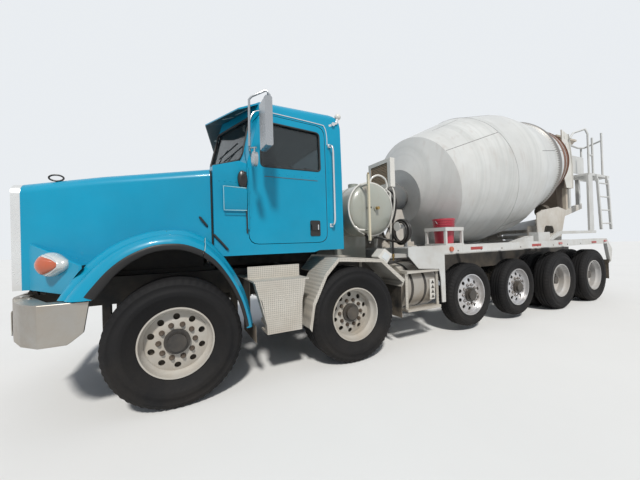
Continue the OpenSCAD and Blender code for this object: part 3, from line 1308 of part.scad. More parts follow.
translate([front_axle_x, 0, 0]) {
    frame_rails();
    front_bumper();
    powertrain();
    front_axle();
    pusher_axles();
    drive_axles();
    exhaust();
    fuel_tanks();
    step_boxes();
    fender_backs();
    second_fenders();
    mud_flaps();
    cab_shell();
    sun_visor();
    cab_glass();
    cab_interior();
    seats();
    water_tank();
    oil_cooler();
    front_pedestal();
    drum_drive();
    rear_pedestal();
    body_frame();
    charge_hopper();
    platform();
    bucket();
    hose_run();
    wash_hose();
    hose_nozzle();
    marker_lamps();
    hood();
    grille();
    door(1);  // door_left
    door(-1);  // door_right
    door_glass(1);  // door_glass_left
    door_glass(-1);  // door_glass_right
    mirror_set(1);  // mirror_left
    mirror_set(-1);  // mirror_right
    knuckle(1);  // knuckle_left
    knuckle(-1);  // knuckle_right
    drum();
    roller(1);  // roller_left
    roller(-1);  // roller_right
    chute_swivel();
    main_chute();
    fold_chute();
    lift_barrel();
    lift_rod();
    wheel(0, 1);  // wheel_1_left
    wheel(0, -1);  // wheel_1_right
    wheel(1, 1);  // wheel_2_left
    wheel(1, -1);  // wheel_2_right
    wheel(2, 1);  // wheel_3_left
    wheel(2, -1);  // wheel_3_right
    wheel(3, 1);  // wheel_4_left
    wheel(3, -1);  // wheel_4_right
    wheel(4, 1);  // wheel_5_left
    wheel(4, -1);  // wheel_5_right
    wheel(5, 1);  // wheel_6_left
    wheel(5, -1);  // wheel_6_right
}
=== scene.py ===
"""Dresses the frame of a six-axle concrete mixer truck: its finishes, small pieces, cord and stage.

Places are metres measured from the front axle: x forward, y to the truck's left, z up from the ground.
"""
import json
import math

import bpy
import bmesh
from mathutils import Matrix, Vector
from mathutils.bvhtree import BVHTree


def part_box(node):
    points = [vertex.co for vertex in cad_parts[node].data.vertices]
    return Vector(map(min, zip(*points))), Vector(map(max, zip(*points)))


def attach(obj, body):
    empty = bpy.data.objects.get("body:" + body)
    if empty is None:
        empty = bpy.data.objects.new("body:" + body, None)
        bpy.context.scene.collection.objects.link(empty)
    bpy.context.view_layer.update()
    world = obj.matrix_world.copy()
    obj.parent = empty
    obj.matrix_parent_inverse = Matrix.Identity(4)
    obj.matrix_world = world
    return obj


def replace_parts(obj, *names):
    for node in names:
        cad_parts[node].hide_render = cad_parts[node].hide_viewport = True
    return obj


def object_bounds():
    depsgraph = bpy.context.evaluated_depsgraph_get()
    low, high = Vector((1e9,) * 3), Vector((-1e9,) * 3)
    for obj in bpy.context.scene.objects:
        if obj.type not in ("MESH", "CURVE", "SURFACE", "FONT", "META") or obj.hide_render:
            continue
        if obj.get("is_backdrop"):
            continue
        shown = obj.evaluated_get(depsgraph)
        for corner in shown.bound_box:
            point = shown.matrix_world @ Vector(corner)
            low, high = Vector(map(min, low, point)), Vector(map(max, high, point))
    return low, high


bl_info = {
    "name": "Concrete mixer truck",
    "version": (1, 0, 0),
    "blender": (4, 5, 0),
    "location": "View3D > Sidebar > Mixer truck",
    "description": "Dresses the frame of a concrete mixer truck with its finishes and small pieces",
    "category": "Object",
}

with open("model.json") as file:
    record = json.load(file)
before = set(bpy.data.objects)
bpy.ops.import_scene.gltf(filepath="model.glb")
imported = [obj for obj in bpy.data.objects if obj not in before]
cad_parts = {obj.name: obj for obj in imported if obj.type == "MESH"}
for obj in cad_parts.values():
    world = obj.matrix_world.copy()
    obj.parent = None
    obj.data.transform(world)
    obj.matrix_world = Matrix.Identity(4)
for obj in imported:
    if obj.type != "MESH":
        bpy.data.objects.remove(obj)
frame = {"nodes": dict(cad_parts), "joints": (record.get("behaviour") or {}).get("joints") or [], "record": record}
FRAME_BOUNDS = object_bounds()
JOINTS = {joint["name"]: joint for joint in frame["joints"]}
NODE_BODY = {node: body for body, nodes in frame["record"]["behaviour"]["bodies"].items() for node in nodes}
# Front axle, from which the places of this file are measured
AXLE_X = JOINTS["steer_left"]["pos_m"][0]
SIDES = {"left": 1, "right": -1}


def at(x, y, z):
    """A place measured from the front axle on the ground, in the frame's metres."""
    return Vector((AXLE_X + x, y, z))


# Settings

def colour_setting(name, text, value):
    return bpy.props.FloatVectorProperty(
        name=name, description=text, subtype="COLOR", size=3, min=0.0, max=1.0, default=value)


class TruckColours(bpy.types.PropertyGroup):
    """Colours of the truck's finishes"""
    enamel: colour_setting("Cab enamel", "Paint of the cab, hood and front fenders", (0.0, 0.285, 0.465))
    mixer: colour_setting("Mixer paint", "Paint of the drum and the mixer body", (0.60, 0.61, 0.60))
    chassis: colour_setting("Chassis paint", "Paint of the frame and axles", (0.018, 0.018, 0.019))
    plate: colour_setting("Plate", "Bare aluminium of the steps and fenders", (0.64, 0.61, 0.55))
    drive: colour_setting("Drive paint", "Paint of the drum drive", (0.11, 0.12, 0.125))
    tank: colour_setting("Tank paint", "Paint of the water tank", (0.33, 0.35, 0.31))
    bucket: colour_setting("Bucket", "Moulded colour of the bucket", (0.42, 0.015, 0.045))
    dust: colour_setting("Dust", "Dry mud and cement dust", (0.33, 0.27, 0.20))
    rust: colour_setting("Rust", "Rust runs and stains", (0.20, 0.075, 0.03))
    floor: colour_setting("Floor", "Floor and backdrop", (0.78, 0.78, 0.77))


def colours():
    return bpy.context.scene.truck_colours


# Shader tools

def link(tree, source, target):
    tree.links.new(source, target)


def set_input(tree, node, name, value):
    """Gives a node's input a value, or joins it to another node's output."""
    if isinstance(value, bpy.types.NodeSocket):
        link(tree, value, node.inputs[name])
    elif value is not None:
        entry = node.inputs[name]
        wide = entry.type == "RGBA" and len(value) == 3
        entry.default_value = (*value, 1.0) if wide else value


def set_inputs(tree, node, **values):
    """Sets several inputs of a node, with an underline for each space in their names."""
    for key, value in values.items():
        set_input(tree, node, key.replace("_", " "), value)
    return node


def new_node(tree, kind, **values):
    return set_inputs(tree, tree.nodes.new(kind), **values)


def math_node(tree, operation, first, second=None, clamp=False):
    node = tree.nodes.new("ShaderNodeMath")
    node.operation = operation
    node.use_clamp = clamp
    set_input(tree, node, 0, first)
    set_input(tree, node, 1, second)
    return node.outputs[0]


def noise(tree, vector, scale, detail=4.0, rough=0.55):
    node = new_node(tree, "ShaderNodeTexNoise", Vector=vector, Scale=scale, Detail=detail, Roughness=rough)
    return node.outputs["Fac"]


def between(tree, value, low, high, to_low=0.0, to_high=1.0):
    """Value moved from one range to another, clamped."""
    node = new_node(tree, "ShaderNodeMapRange", Value=value, From_Min=low, From_Max=high, To_Min=to_low,
                    To_Max=to_high)
    node.clamp = True
    return node.outputs[0]


def mixed(tree, mask, first, second):
    """The first colour where the mask is black and the second where it is white."""
    node = tree.nodes.new("ShaderNodeMix")
    node.data_type = "RGBA"
    # A mix node has its inputs for colours at places 6 and 7
    for index, value in ((0, mask), (6, first), (7, second)):
        set_input(tree, node, index, value)
    return node.outputs[2]


def group_tree(kind, name, inputs, outputs):
    """An empty node group with named sockets; returns it, what it is given and what it gives."""
    tree = bpy.data.node_groups.new(name, kind)
    for in_out, entries in (("INPUT", inputs), ("OUTPUT", outputs)):
        for label, socket, *value in entries:
            item = tree.interface.new_socket(name=label, in_out=in_out, socket_type="NodeSocket" + socket)
            if value:
                item.default_value = value[0]
    return tree, tree.nodes.new("NodeGroupInput").outputs, tree.nodes.new("NodeGroupOutput").inputs


def build_grime_group(name):
    """Dust that thickens downwards and lies in cloudy patches."""
    tree, given, result = group_tree(
        "ShaderNodeTree", name,
        [("Vector", "Vector"), ("Amount", "Float", 0.5), ("Clean above", "Float", 1.6),
         ("Scale", "Float", 3.0)], [("Mask", "Float")])
    split = tree.nodes.new("ShaderNodeSeparateXYZ")
    link(tree, given["Vector"], split.inputs[0])
    height = between(tree, split.outputs["Z"], 0.15, given["Clean above"], 1.0, 0.0)
    clouds = between(tree, noise(tree, given["Vector"], given["Scale"], 8.0, 0.65), 0.35, 0.75)
    both = math_node(tree, "MULTIPLY", math_node(tree, "ADD", height, 0.18), clouds)
    amount = math_node(tree, "MULTIPLY", given["Amount"], 2.0)
    link(tree, math_node(tree, "MULTIPLY", both, amount, True), result["Mask"])
    return tree


def build_run_group(name):
    """Narrow stains that run down a standing surface."""
    tree, given, result = group_tree(
        "ShaderNodeTree", name, [("Vector", "Vector"), ("Amount", "Float", 0.5), ("Spacing", "Float", 14.0)],
        [("Mask", "Float")])
    thin = new_node(tree, "ShaderNodeMapping", Vector=given["Vector"], Scale=(1.0, 1.0, 0.12)).outputs[0]
    runs = between(tree, noise(tree, thin, given["Spacing"], 3.0, 0.5), 0.56, 0.74)
    patches = between(tree, noise(tree, given["Vector"], 1.7, 3.0), 0.42, 0.66)
    both = math_node(tree, "MULTIPLY", runs, patches)
    link(tree, math_node(tree, "MULTIPLY", both, given["Amount"], True), result["Mask"])
    return tree


def build_patch_group(name):
    """Ragged patches, such as rust or worn paint."""
    tree, given, result = group_tree(
        "ShaderNodeTree", name, [("Vector", "Vector"), ("Amount", "Float", 0.5), ("Scale", "Float", 6.0)],
        [("Mask", "Float")])
    edge = math_node(tree, "SUBTRACT", 0.80, math_node(tree, "MULTIPLY", given["Amount"], 0.35))
    value = noise(tree, given["Vector"], given["Scale"], 9.0, 0.7)
    link(tree, between(tree, value, edge, math_node(tree, "ADD", edge, 0.07)), result["Mask"])
    return tree


def build_surface_group(name):
    """Small uneven relief and roughness of a sprayed or cast surface."""
    tree, given, result = group_tree(
        "ShaderNodeTree", name, [("Vector", "Vector"), ("Scale", "Float", 60.0), ("Depth", "Float", 0.1)],
        [("Normal", "Vector"), ("Value", "Float")])
    value = noise(tree, given["Vector"], given["Scale"], 5.0, 0.6)
    bump = new_node(tree, "ShaderNodeBump", Distance=0.004, Strength=given["Depth"], Height=value)
    link(tree, bump.outputs[0], result["Normal"])
    link(tree, value, result["Value"])
    return tree


GROUP_BUILDERS = {"Road grime": build_grime_group, "Stain runs": build_run_group,
                  "Worn patches": build_patch_group, "Uneven surface": build_surface_group}


def use_group(tree, name, **values):
    """Places a shared effect in a material, sets its inputs and returns its outputs."""
    node = tree.nodes.new("ShaderNodeGroup")
    node.node_tree = bpy.data.node_groups.get(name) or GROUP_BUILDERS[name](name)
    return set_inputs(tree, node, **values).outputs


# Finishes

# Darkest share of a paint's colour, how far its roughness wanders, and what dust adds to it
DARK_SHARE = 0.82
ROUGH_SPREAD = 0.07
DUST_ROUGH = 0.35
METAL = dict(rough=0.35, grime=0.4, relief=0.1, metallic=0.9, grain=45.0)
# Distance between the rows of a tread plate's diamonds, and the share of its colour that the hollows keep: painted
# shade of the hollows, with the dirt they hold
DIAMOND_PITCH = 0.040
HOLLOW_SHADE_AND_DIRT = 0.42
MIRROR_LIGHT = (0.68, 0.70, 0.72)
CEMENT_FILM = (0.34, 0.36, 0.35)


def new_finish(name):
    """A material with its tree, its shader and the object coordinates."""
    material = bpy.data.materials.new(name)
    material.use_nodes = True
    tree = material.node_tree
    place = tree.nodes.new("ShaderNodeTexCoord").outputs["Object"]
    return material, tree, tree.nodes["Principled BSDF"], place


def laid_over(tree, shader, mask, colour):
    """Lays a colour over the one that the shader has."""
    worn = shader.inputs["Base Color"].links[0].from_socket
    link(tree, mixed(tree, mask, worn, colour), shader.inputs["Base Color"])


def painted(name, base, rough=0.4, coat=0.0, grime=0.5, clean_above=1.6, runs=0.0, rust=0.0, metallic=0.0,
            relief=0.08, grain=60.0, rust_scale=6.0, shine=0.5):
    """Weathered paint: base coat, dust, rust runs and ragged rust."""
    material, tree, shader, place = new_finish(name)
    shade = between(tree, noise(tree, place, 1.3, 4.0), 0.3, 0.7)
    colour = mixed(tree, shade, tuple(c * DARK_SHARE for c in base), base)
    if runs:
        stains = use_group(tree, "Stain runs", Vector=place, Amount=runs)
        colour = mixed(tree, stains["Mask"], colour, colours().rust)
    if rust:
        patches = use_group(tree, "Worn patches", Vector=place, Amount=rust, Scale=rust_scale)
        colour = mixed(tree, patches["Mask"], colour, colours().rust)
    dust = use_group(tree, "Road grime", Vector=place, Amount=grime, Clean_above=clean_above)["Mask"]
    surface = use_group(tree, "Uneven surface", Vector=place, Scale=grain, Depth=relief)
    uneven = between(tree, surface["Value"], 0.2, 0.8, rough - ROUGH_SPREAD, rough + ROUGH_SPREAD)
    wear = math_node(tree, "ADD", uneven, math_node(tree, "MULTIPLY", dust, DUST_ROUGH), True)
    set_inputs(tree, shader, Base_Color=mixed(tree, dust, colour, colours().dust), Normal=surface["Normal"],
               Roughness=wear, Metallic=metallic, Coat_Weight=coat, Coat_Roughness=0.06,
               Specular_IOR_Level=shine)
    return material


def bare_metal(name, base, **values):
    return painted(name, base, **{**METAL, **values})


def clear_glass(name, base):
    material, tree, shader, place = new_finish(name)
    dirt = use_group(tree, "Uneven surface", Vector=place, Scale=9.0, Depth=0.0)
    set_inputs(tree, shader, Base_Color=base, Roughness=between(tree, dirt["Value"], 0.3, 0.8, 0.02, 0.12),
               Transmission_Weight=0.92, IOR=1.45)
    return material


def mirror_glass(name, base):
    material, tree, shader, place = new_finish(name)
    film = use_group(tree, "Uneven surface", Vector=place, Scale=14.0, Depth=0.0)["Value"]
    set_inputs(tree, shader, Base_Color=mixed(tree, film, base, MIRROR_LIGHT),
               Roughness=between(tree, film, 0.3, 0.8, 0.02, 0.09), Metallic=1.0)
    return material


def lamp_lens(name, base):
    """Ribbed plastic with a little dust on it."""
    material, tree, shader, place = new_finish(name)
    ribs = new_node(tree, "ShaderNodeTexWave", Scale=60.0, Vector=place).outputs["Fac"]
    bump = new_node(tree, "ShaderNodeBump", Strength=0.3, Distance=0.002, Height=ribs)
    dust = use_group(tree, "Road grime", Vector=place, Amount=0.3)["Mask"]
    set_inputs(tree, shader, Normal=bump.outputs[0], Base_Color=mixed(tree, dust, base, colours().dust),
               Roughness=0.15, Coat_Weight=0.8)
    return material


def diamond_plate(name, base):
    """Bare aluminium whose raised diamonds keep the plain colour and whose hollows are painted darker, as painted
    shade and the dirt they hold.
    """
    material = bare_metal(name, base, rough=0.45, grime=0.3, metallic=0.3)
    tree = material.node_tree
    place = tree.nodes.new("ShaderNodeTexCoord").outputs["Object"]
    parts = tree.nodes.new("ShaderNodeSeparateXYZ")
    link(tree, place, parts.inputs[0])
    rise = math_node(tree, "ADD", parts.outputs["Y"], parts.outputs["Z"])
    waves = []
    for operation in ("ADD", "SUBTRACT"):
        slant = math_node(tree, operation, parts.outputs["X"], rise)
        turns = math_node(tree, "MULTIPLY", slant, 2 * math.pi / DIAMOND_PITCH)
        waves.append(math_node(tree, "SINE", turns))
    mask = between(tree, math_node(tree, "MULTIPLY", *waves), 0.0, 0.5)
    laid_over(tree, tree.nodes["Principled BSDF"], math_node(tree, "MULTIPLY", mask, 0.75),
              tuple(c * HOLLOW_SHADE_AND_DIRT for c in base))
    return material


def drum_paint(name, base):
    """Mixer paint with rings of cement film round the drum."""
    material = painted(name, base, rough=0.42, coat=0.25, grime=0.16, runs=0.2, rust=0.03, clean_above=3.4,
                       relief=0.05, grain=18.0)
    tree = material.node_tree
    place = tree.nodes.new("ShaderNodeTexCoord").outputs["Object"]
    turned = new_node(tree, "ShaderNodeMapping", Vector=place, Rotation=(0.0, -DRUM_TILT, 0.0),
                      Scale=(9.0, 0.25, 0.25)).outputs[0]
    rings = between(tree, noise(tree, turned, 1.0, 4.0, 0.6), 0.50, 0.72, 0.0, 0.45)
    laid_over(tree, tree.nodes["Principled BSDF"], rings, CEMENT_FILM)
    return material


# Each finish: how it is made, its base colour or the setting that holds it, and what differs from the usual
FINISHES = {
    "Cab enamel": (painted, "enamel", dict(rough=0.34, coat=0.15, grime=0.05, relief=0.004, shine=0.25)),
    "Mixer paint": (painted, "mixer", dict(rough=0.5, grime=0.3, runs=0.35, rust=0.12, clean_above=2.4)),
    "Pedestal paint": (painted, (0.58, 0.56, 0.52), dict(rough=0.6, grime=0.45, runs=0.5, rust=0.25,
                                                         clean_above=3.2)),
    "Drum paint": (drum_paint, "mixer", {}),
    "Drum inside": (painted, (0.17, 0.165, 0.155), dict(rough=0.9, grime=0.5, relief=0.6, rust=0.2)),
    "Mouth rust": (painted, (0.17, 0.075, 0.045), dict(rough=0.75, grime=0.25, relief=0.4, rust=0.5,
                                                       clean_above=4.0)),
    "Track steel": (bare_metal, (0.28, 0.27, 0.26), dict(rough=0.4, clean_above=3.6)),
    "Seam": (painted, (0.10, 0.10, 0.10), dict(rough=0.7, grime=0.2)),
    "Hopper paint": (painted, (0.56, 0.50, 0.42), dict(rough=0.6, grime=0.3, runs=0.8, rust=0.35,
                                                       clean_above=4.4)),
    "Residue": (painted, (0.15, 0.12, 0.10), dict(rough=0.9, grime=0.4, relief=0.6, clean_above=3.4)),
    "Chassis paint": (painted, "chassis", dict(rough=0.6, grime=0.3, clean_above=1.2)),
    "Oily steel": (painted, (0.10, 0.085, 0.07), dict(rough=0.55, grime=0.3, metallic=0.4)),
    "Step aluminium": (diamond_plate, "plate", {}),
    "Bumper aluminium": (bare_metal, (0.42, 0.40, 0.37), dict(rough=0.38, grime=0.5)),
    "Tank aluminium": (bare_metal, (0.48, 0.46, 0.43), dict(rough=0.36, grime=0.45, metallic=0.6)),
    "Grille chrome": (bare_metal, (0.80, 0.80, 0.79), dict(rough=0.28, grime=0.15, metallic=0.7)),
    "Exhaust steel": (bare_metal, (0.22, 0.17, 0.13), dict(rough=0.5)),
    "Mirror chrome": (bare_metal, (0.44, 0.46, 0.48), dict(rough=0.24, grime=0.12, relief=0.0,
                                                           metallic=0.75)),
    "Bright trim": (bare_metal, (0.80, 0.81, 0.82), dict(rough=0.14, grime=0.05, relief=0.0, metallic=1.0)),
    "Mirror glass": (mirror_glass, (0.55, 0.58, 0.60), {}),
    "Lamp pod": (bare_metal, (0.62, 0.66, 0.66), dict(rough=0.24, grime=0.15, metallic=0.35)),
    "White rim": (painted, (0.50, 0.48, 0.44), dict(rough=0.5, grime=0.35, rust=0.35, clean_above=1.4,
                                                    rust_scale=9.0)),
    "Bright rim": (bare_metal, (0.66, 0.67, 0.70), dict(rough=0.28, grime=0.35, metallic=0.75)),
    "Pale rim": (painted, (0.44, 0.44, 0.44), dict(rough=0.5, grime=0.35, rust=0.2, clean_above=1.4)),
    "Hub enamel": (painted, (0.022, 0.021, 0.021), dict(rough=0.45, grime=0.12, rust=0.08)),
    "Nut steel": (painted, (0.10, 0.075, 0.060), dict(rough=0.5, grime=0.2, metallic=0.5, rust=0.4)),
    "Cab plastic": (painted, (0.03, 0.03, 0.032), dict(rough=0.6, grime=0.1, relief=0.2)),
    "Cab lining": (painted, (0.075, 0.078, 0.085), dict(rough=0.85, grime=0.05, relief=0.3)),
    "Seat cloth": (painted, (0.05, 0.05, 0.055), dict(rough=0.9, grime=0.1, relief=0.5, grain=300.0)),
    # A darker copy of the cab enamel: painted shade for the visor's underside
    "Visor underside": (painted, (0.020, 0.075, 0.090), dict(rough=0.5, grime=0.05)),
    "Tank paint": (painted, "tank", dict(rough=0.3, coat=0.6, grime=0.3, runs=0.5, clean_above=2.6)),
    "White enamel": (painted, (0.70, 0.69, 0.65), dict(rough=0.35, grime=0.25, coat=0.3, clean_above=2.4)),
    "Gauge cream": (painted, (0.62, 0.56, 0.42), dict(rough=0.5, grime=0.1, rust=0.2, rust_scale=20.0)),
    "Cooler core": (painted, (0.36, 0.28, 0.20), dict(rough=0.8, grime=0.2, relief=0.8, grain=160.0)),
    "Drive paint": (painted, "drive", dict(rough=0.5, grime=0.4, rust=0.2, clean_above=2.6)),
    "Bucket plastic": (painted, "bucket", dict(rough=0.35, grime=0.2, clean_above=1.9)),
    "Flap rubber": (painted, (0.012, 0.012, 0.012), dict(rough=0.75, grime=0.35, clean_above=1.1)),
    "Fender rubber": (painted, (0.016, 0.016, 0.017), dict(rough=0.40, shine=0.3, grime=0.02,
                                                           clean_above=1.7)),
    "Hose rubber": (painted, (0.012, 0.012, 0.013), dict(rough=0.38, grime=0.15, clean_above=1.8)),
    "Wheel well": (painted, (0.012, 0.012, 0.012), dict(rough=0.9, grime=0.3, clean_above=1.3)),
    "Gasket": (painted, (0.010, 0.010, 0.011), dict(rough=0.6, grime=0.1)),
    "Lamp black": (painted, (0.010, 0.010, 0.011), dict(rough=0.3, grime=0.1, relief=0.02)),
    "Brass": (bare_metal, (0.42, 0.28, 0.10), dict(rough=0.35, grime=0.3)),
    "Tyre rubber": (painted, (0.013, 0.013, 0.014), dict(rough=0.70, grime=0.02, clean_above=0.9,
                                                         relief=0.25, shine=0.15)),
    "Clear glass": (clear_glass, (0.19, 0.24, 0.26), {}),
    "Lamp glass": (lamp_lens, (0.62, 0.66, 0.68), {}),
    "Red lens": (lamp_lens, (0.42, 0.01, 0.012), {}),
    "Amber lens": (lamp_lens, (0.46, 0.060, 0.004), {}),
    # Pale cyan for strips laid along edges: a painted highlight of edges in the sun
    "Split edge": (painted, (0.35, 0.62, 0.68), dict(rough=0.4, grime=0.1)),
    "Red tape": (painted, (0.36, 0.03, 0.025), dict(rough=0.35, grime=0.25, relief=0.3, grain=300.0)),
}


def finish(name):
    """The named finish, made when it is first asked for."""
    if name in bpy.data.materials:
        return bpy.data.materials[name]
    make, base, values = FINISHES[name]
    return make(name, getattr(colours(), base) if isinstance(base, str) else base, **values)


# Mesh tools

def linked(name, data):
    """A new object in the scene."""
    piece = bpy.data.objects.new(name, data)
    bpy.context.scene.collection.objects.link(piece)
    return piece


def mesh_object(name, mesh, finishes):
    """A new object in the scene, made of a bmesh, with its finishes in their slots."""
    data = bpy.data.meshes.new(name)
    mesh.to_mesh(data)
    mesh.free()
    for chosen in finishes:
        data.materials.append(finish(chosen))
    return linked(name, data)


def circle(steps):
    """Angles all the way round."""
    return [2 * math.pi * k / steps for k in range(steps)]


def disc_ring(place, side, other, radius, sides):
    """Points round a place, in the plane of two directions."""
    return [place + (side * math.cos(a) + other * math.sin(a)) * radius for a in circle(sides)]


def lattice(rows, count, wrap=False):
    """Faces between rows of points; the last row meets the first one when wrapped."""
    return [(i * count + j, i * count + j + 1, (i + 1) % rows * count + j + 1, (i + 1) % rows * count + j)
            for i in range(rows if wrap else rows - 1) for j in range(count - 1)]


class Shape:
    """One piece, built up from simple solids that each carry a finish; its side is 1 or -1."""

    def __init__(self, name, body, side=1):
        self.name = name
        self.body = body
        self.side = side
        self.mesh = bmesh.new()
        self.finishes = []

    def at(self, x, y, z):
        """A place measured from the front axle, with y running outwards on the piece's side."""
        return at(x, self.side * y, z)

    def slot(self, name):
        if name not in self.finishes:
            self.finishes.append(name)
        return self.finishes.index(name)

    def faces(self, points, loops, name, smooth=False):
        """Adds faces over a list of frame points."""
        verts = [self.mesh.verts.new(point) for point in points]
        for loop in loops:
            face = self.mesh.faces.new([verts[index] for index in loop])
            face.material_index = self.slot(name)
            face.smooth = smooth

    def box(self, low, high, name):
        """A box between two opposite corners, measured from the front axle."""
        low, high = self.at(*low), self.at(*high)
        points = [(x, y, z) for x in (low.x, high.x) for y in (low.y, high.y) for z in (low.z, high.z)]
        sides = [(0, 1, 3, 2), (4, 6, 7, 5), (0, 4, 5, 1), (2, 3, 7, 6), (0, 2, 6, 4), (1, 5, 7, 3)]
        self.faces(points, sides, name)

    def sweep(self, rings, name, smooth=True, closed=False):
        """Skin through rings of frame points, with flat ends unless the last ring meets the first."""
        count = len(rings[0])
        points = [point for ring in rings for point in ring]
        loops = []
        for i in range(len(rings) if closed else len(rings) - 1):
            after = (i + 1) % len(rings)
            for j in range(count):
                loops.append((i * count + j, i * count + (j + 1) % count,
                              after * count + (j + 1) % count, after * count + j))
        self.faces(points, loops, name, smooth)
        if not closed:
            self.faces(rings[0], [tuple(reversed(range(count)))], name)
            self.faces(rings[-1], [tuple(range(count))], name)

    def lathe(self, profile, centre, axis, name, steps=48, closed=True):
        """Turns a profile of (radius, distance along the axis) about an axis through a frame point."""
        axis = Vector(axis).normalized()
        side = axis.orthogonal().normalized()
        other = axis.cross(side)
        rings = []
        for angle in circle(steps):
            out = side * math.cos(angle) + other * math.sin(angle)
            rings.append([centre + out * r + axis * d for r, d in profile])
        if closed:
            self.sweep(rings, name, closed=True)
        else:
            points = [point for ring in rings for point in ring]
            self.faces(points, lattice(steps, len(profile), wrap=True), name, True)

    def rod(self, start, end, radius, name, sides=16):
        """A round bar between two places measured from the front axle."""
        start, end = self.at(*start), self.at(*end)
        axis = (end - start).normalized()
        side = axis.orthogonal().normalized()
        self.sweep([disc_ring(place, side, axis.cross(side), radius, sides) for place in (start, end)], name)

    def course(self, places, radius, name, sides=12):
        """A round tube through frame points."""
        side = None
        rings = []
        for i, place in enumerate(places):
            course = (places[min(i + 1, len(places) - 1)] - places[max(i - 1, 0)]).normalized()
            side = course.orthogonal() if side is None else side - course * side.dot(course)
            side.normalize()
            rings.append(disc_ring(place, side, course.cross(side), radius, sides))
        self.sweep(rings, name)

    def tube(self, points, radius, name, sides=12):
        """A round tube through places measured from the front axle."""
        self.course([self.at(*point) for point in points], radius, name, sides)

    def hoop(self, places, radius, name, sides=12):
        """A round tube that closes on itself, lying flat in its own plane."""
        centre = sum(places, Vector()) / len(places)
        normal = Vector()
        for a, b in zip(places, places[1:] + places[:1]):
            normal += (a - centre).cross(b - centre)
        normal.normalize()
        rings = []
        for i, place in enumerate(places):
            course = (places[(i + 1) % len(places)] - places[i - 1]).normalized()
            rings.append(disc_ring(place, course.cross(normal).normalized(), normal, radius, sides))
        self.sweep(rings, name, closed=True)

    def prism(self, outline, axis, low, high, name):
        """Extrudes an outline along x, y or z; its two numbers are the other two axes in order."""
        def place(pair, depth):
            values = list(pair)
            values.insert("xyz".index(axis), depth)
            return self.at(*values)
        self.sweep([[place(pair, depth) for pair in outline] for depth in (low, high)], name, smooth=False)

    def done(self, angle=35.0):
        """Turns the collected solids into an object that rides its body."""
        bmesh.ops.remove_doubles(self.mesh, verts=self.mesh.verts, dist=0.00005)
        bmesh.ops.recalc_face_normals(self.mesh, faces=self.mesh.faces)
        for edge in self.mesh.edges:
            if len(edge.link_faces) == 2 and edge.calc_face_angle(0.0) > math.radians(angle):
                edge.smooth = False
        piece = mesh_object(self.name, self.mesh, self.finishes)
        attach(piece, self.body)
        return piece


def curve_points(points, steps):
    """Smooth curve through control points, in steps between each two."""
    points = [Vector(point) for point in points]
    out = []
    for i in range(len(points) - 1):
        a, b, c, d = (points[max(i - 1, 0)], points[i], points[i + 1], points[min(i + 2, len(points) - 1)])
        for k in range(steps):
            t = k / steps
            out.append(0.5 * (2 * b + (c - a) * t + (2 * a - 5 * b + 4 * c - d) * t * t
                              + (3 * b - a - 3 * c + d) * t ** 3))
    return out + [points[-1]]


def islands(mesh):
    """Groups of faces of a bmesh that hang together."""
    seen = set()
    for start in mesh.faces:
        if start in seen:
            continue
        seen.add(start)
        group = [start]
        for face in group:
            for edge in face.edges:
                for other in edge.link_faces:
                    if other not in seen:
                        seen.add(other)
                        group.append(other)
        yield group


def cad_copy(node, name, pick, keep=None, bevel=0.0):
    """A merged copy of a CAD node that stands for it; pick names the finish of each face."""
    mesh = bmesh.new()
    mesh.from_mesh(frame["nodes"][node].data)
    bmesh.ops.remove_doubles(mesh, verts=mesh.verts, dist=0.00002)
    if keep:
        for group in list(islands(mesh)):
            if not keep(group):
                bmesh.ops.delete(mesh, geom=group, context="FACES")
    finishes = []
    for face in mesh.faces:
        chosen = pick(face.calc_center_median(), face.normal)
        if chosen not in finishes:
            finishes.append(chosen)
        face.material_index = finishes.index(chosen)
        face.smooth = True
    for edge in mesh.edges:
        if len(edge.link_faces) != 2 or edge.calc_face_angle(0.0) > math.radians(30):
            edge.smooth = False
    piece = mesh_object(name, mesh, finishes)
    if bevel:
        edge_bevel = piece.modifiers.new("Worn edges", "BEVEL")
        edge_bevel.width = bevel
        edge_bevel.segments = 2
        edge_bevel.limit_method = "ANGLE"
        edge_bevel.angle_limit = math.radians(40)
        edge_bevel.harden_normals = False
    weigh = piece.modifiers.new("Flat faces", "WEIGHTED_NORMAL")
    weigh.keep_sharp = True
    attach(piece, NODE_BODY[node])
    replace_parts(piece, node)
    return piece


# Repeated pieces, grown by geometry nodes

STUD_INPUTS = [("Sides", "Int", 6), ("Foot radius", "Float", 0.01), ("Head radius", "Float", 0.01),
               ("Height", "Float", 0.01), ("Seed", "Int", 4), ("Finish", "Material")]


def stud_group(name, inputs, layout, **values):
    """A geometry group that sets a stud, turned at random, on each point of a layout."""
    tree, given, result = group_tree(
        "GeometryNodeTree", name, inputs + STUD_INPUTS, [("Geometry", "Geometry")])
    points = new_node(tree, layout, **{key: given[entry] for key, entry in values.items()})
    stud = new_node(tree, "GeometryNodeMeshCone", Vertices=given["Sides"], Radius_Bottom=given["Foot radius"],
                    Radius_Top=given["Head radius"], Depth=given["Height"])
    spin = tree.nodes.new("FunctionNodeRandomValue")
    spin.data_type = "FLOAT"
    spin.inputs["Min"].default_value = 0.0
    spin.inputs["Max"].default_value = math.pi
    link(tree, given["Seed"], spin.inputs["Seed"])
    angle = new_node(tree, "ShaderNodeCombineXYZ", Z=spin.outputs[1])
    copies = new_node(tree, "GeometryNodeInstanceOnPoints", Points=points.outputs[0],
                      Instance=stud.outputs["Mesh"], Rotation=angle.outputs[0])
    real = new_node(tree, "GeometryNodeRealizeInstances", Geometry=copies.outputs[0])
    coat = new_node(tree, "GeometryNodeSetMaterial", Geometry=real.outputs[0], Material=given["Finish"])
    link(tree, coat.outputs[0], result[0])
    return tree


def stud_circle_group(name):
    """Studs round a circle in the XY plane."""
    return stud_group(name, [("Count", "Int", 10), ("Radius", "Float", 0.1)], "GeometryNodeMeshCircle",
                      Vertices="Count", Radius="Radius")


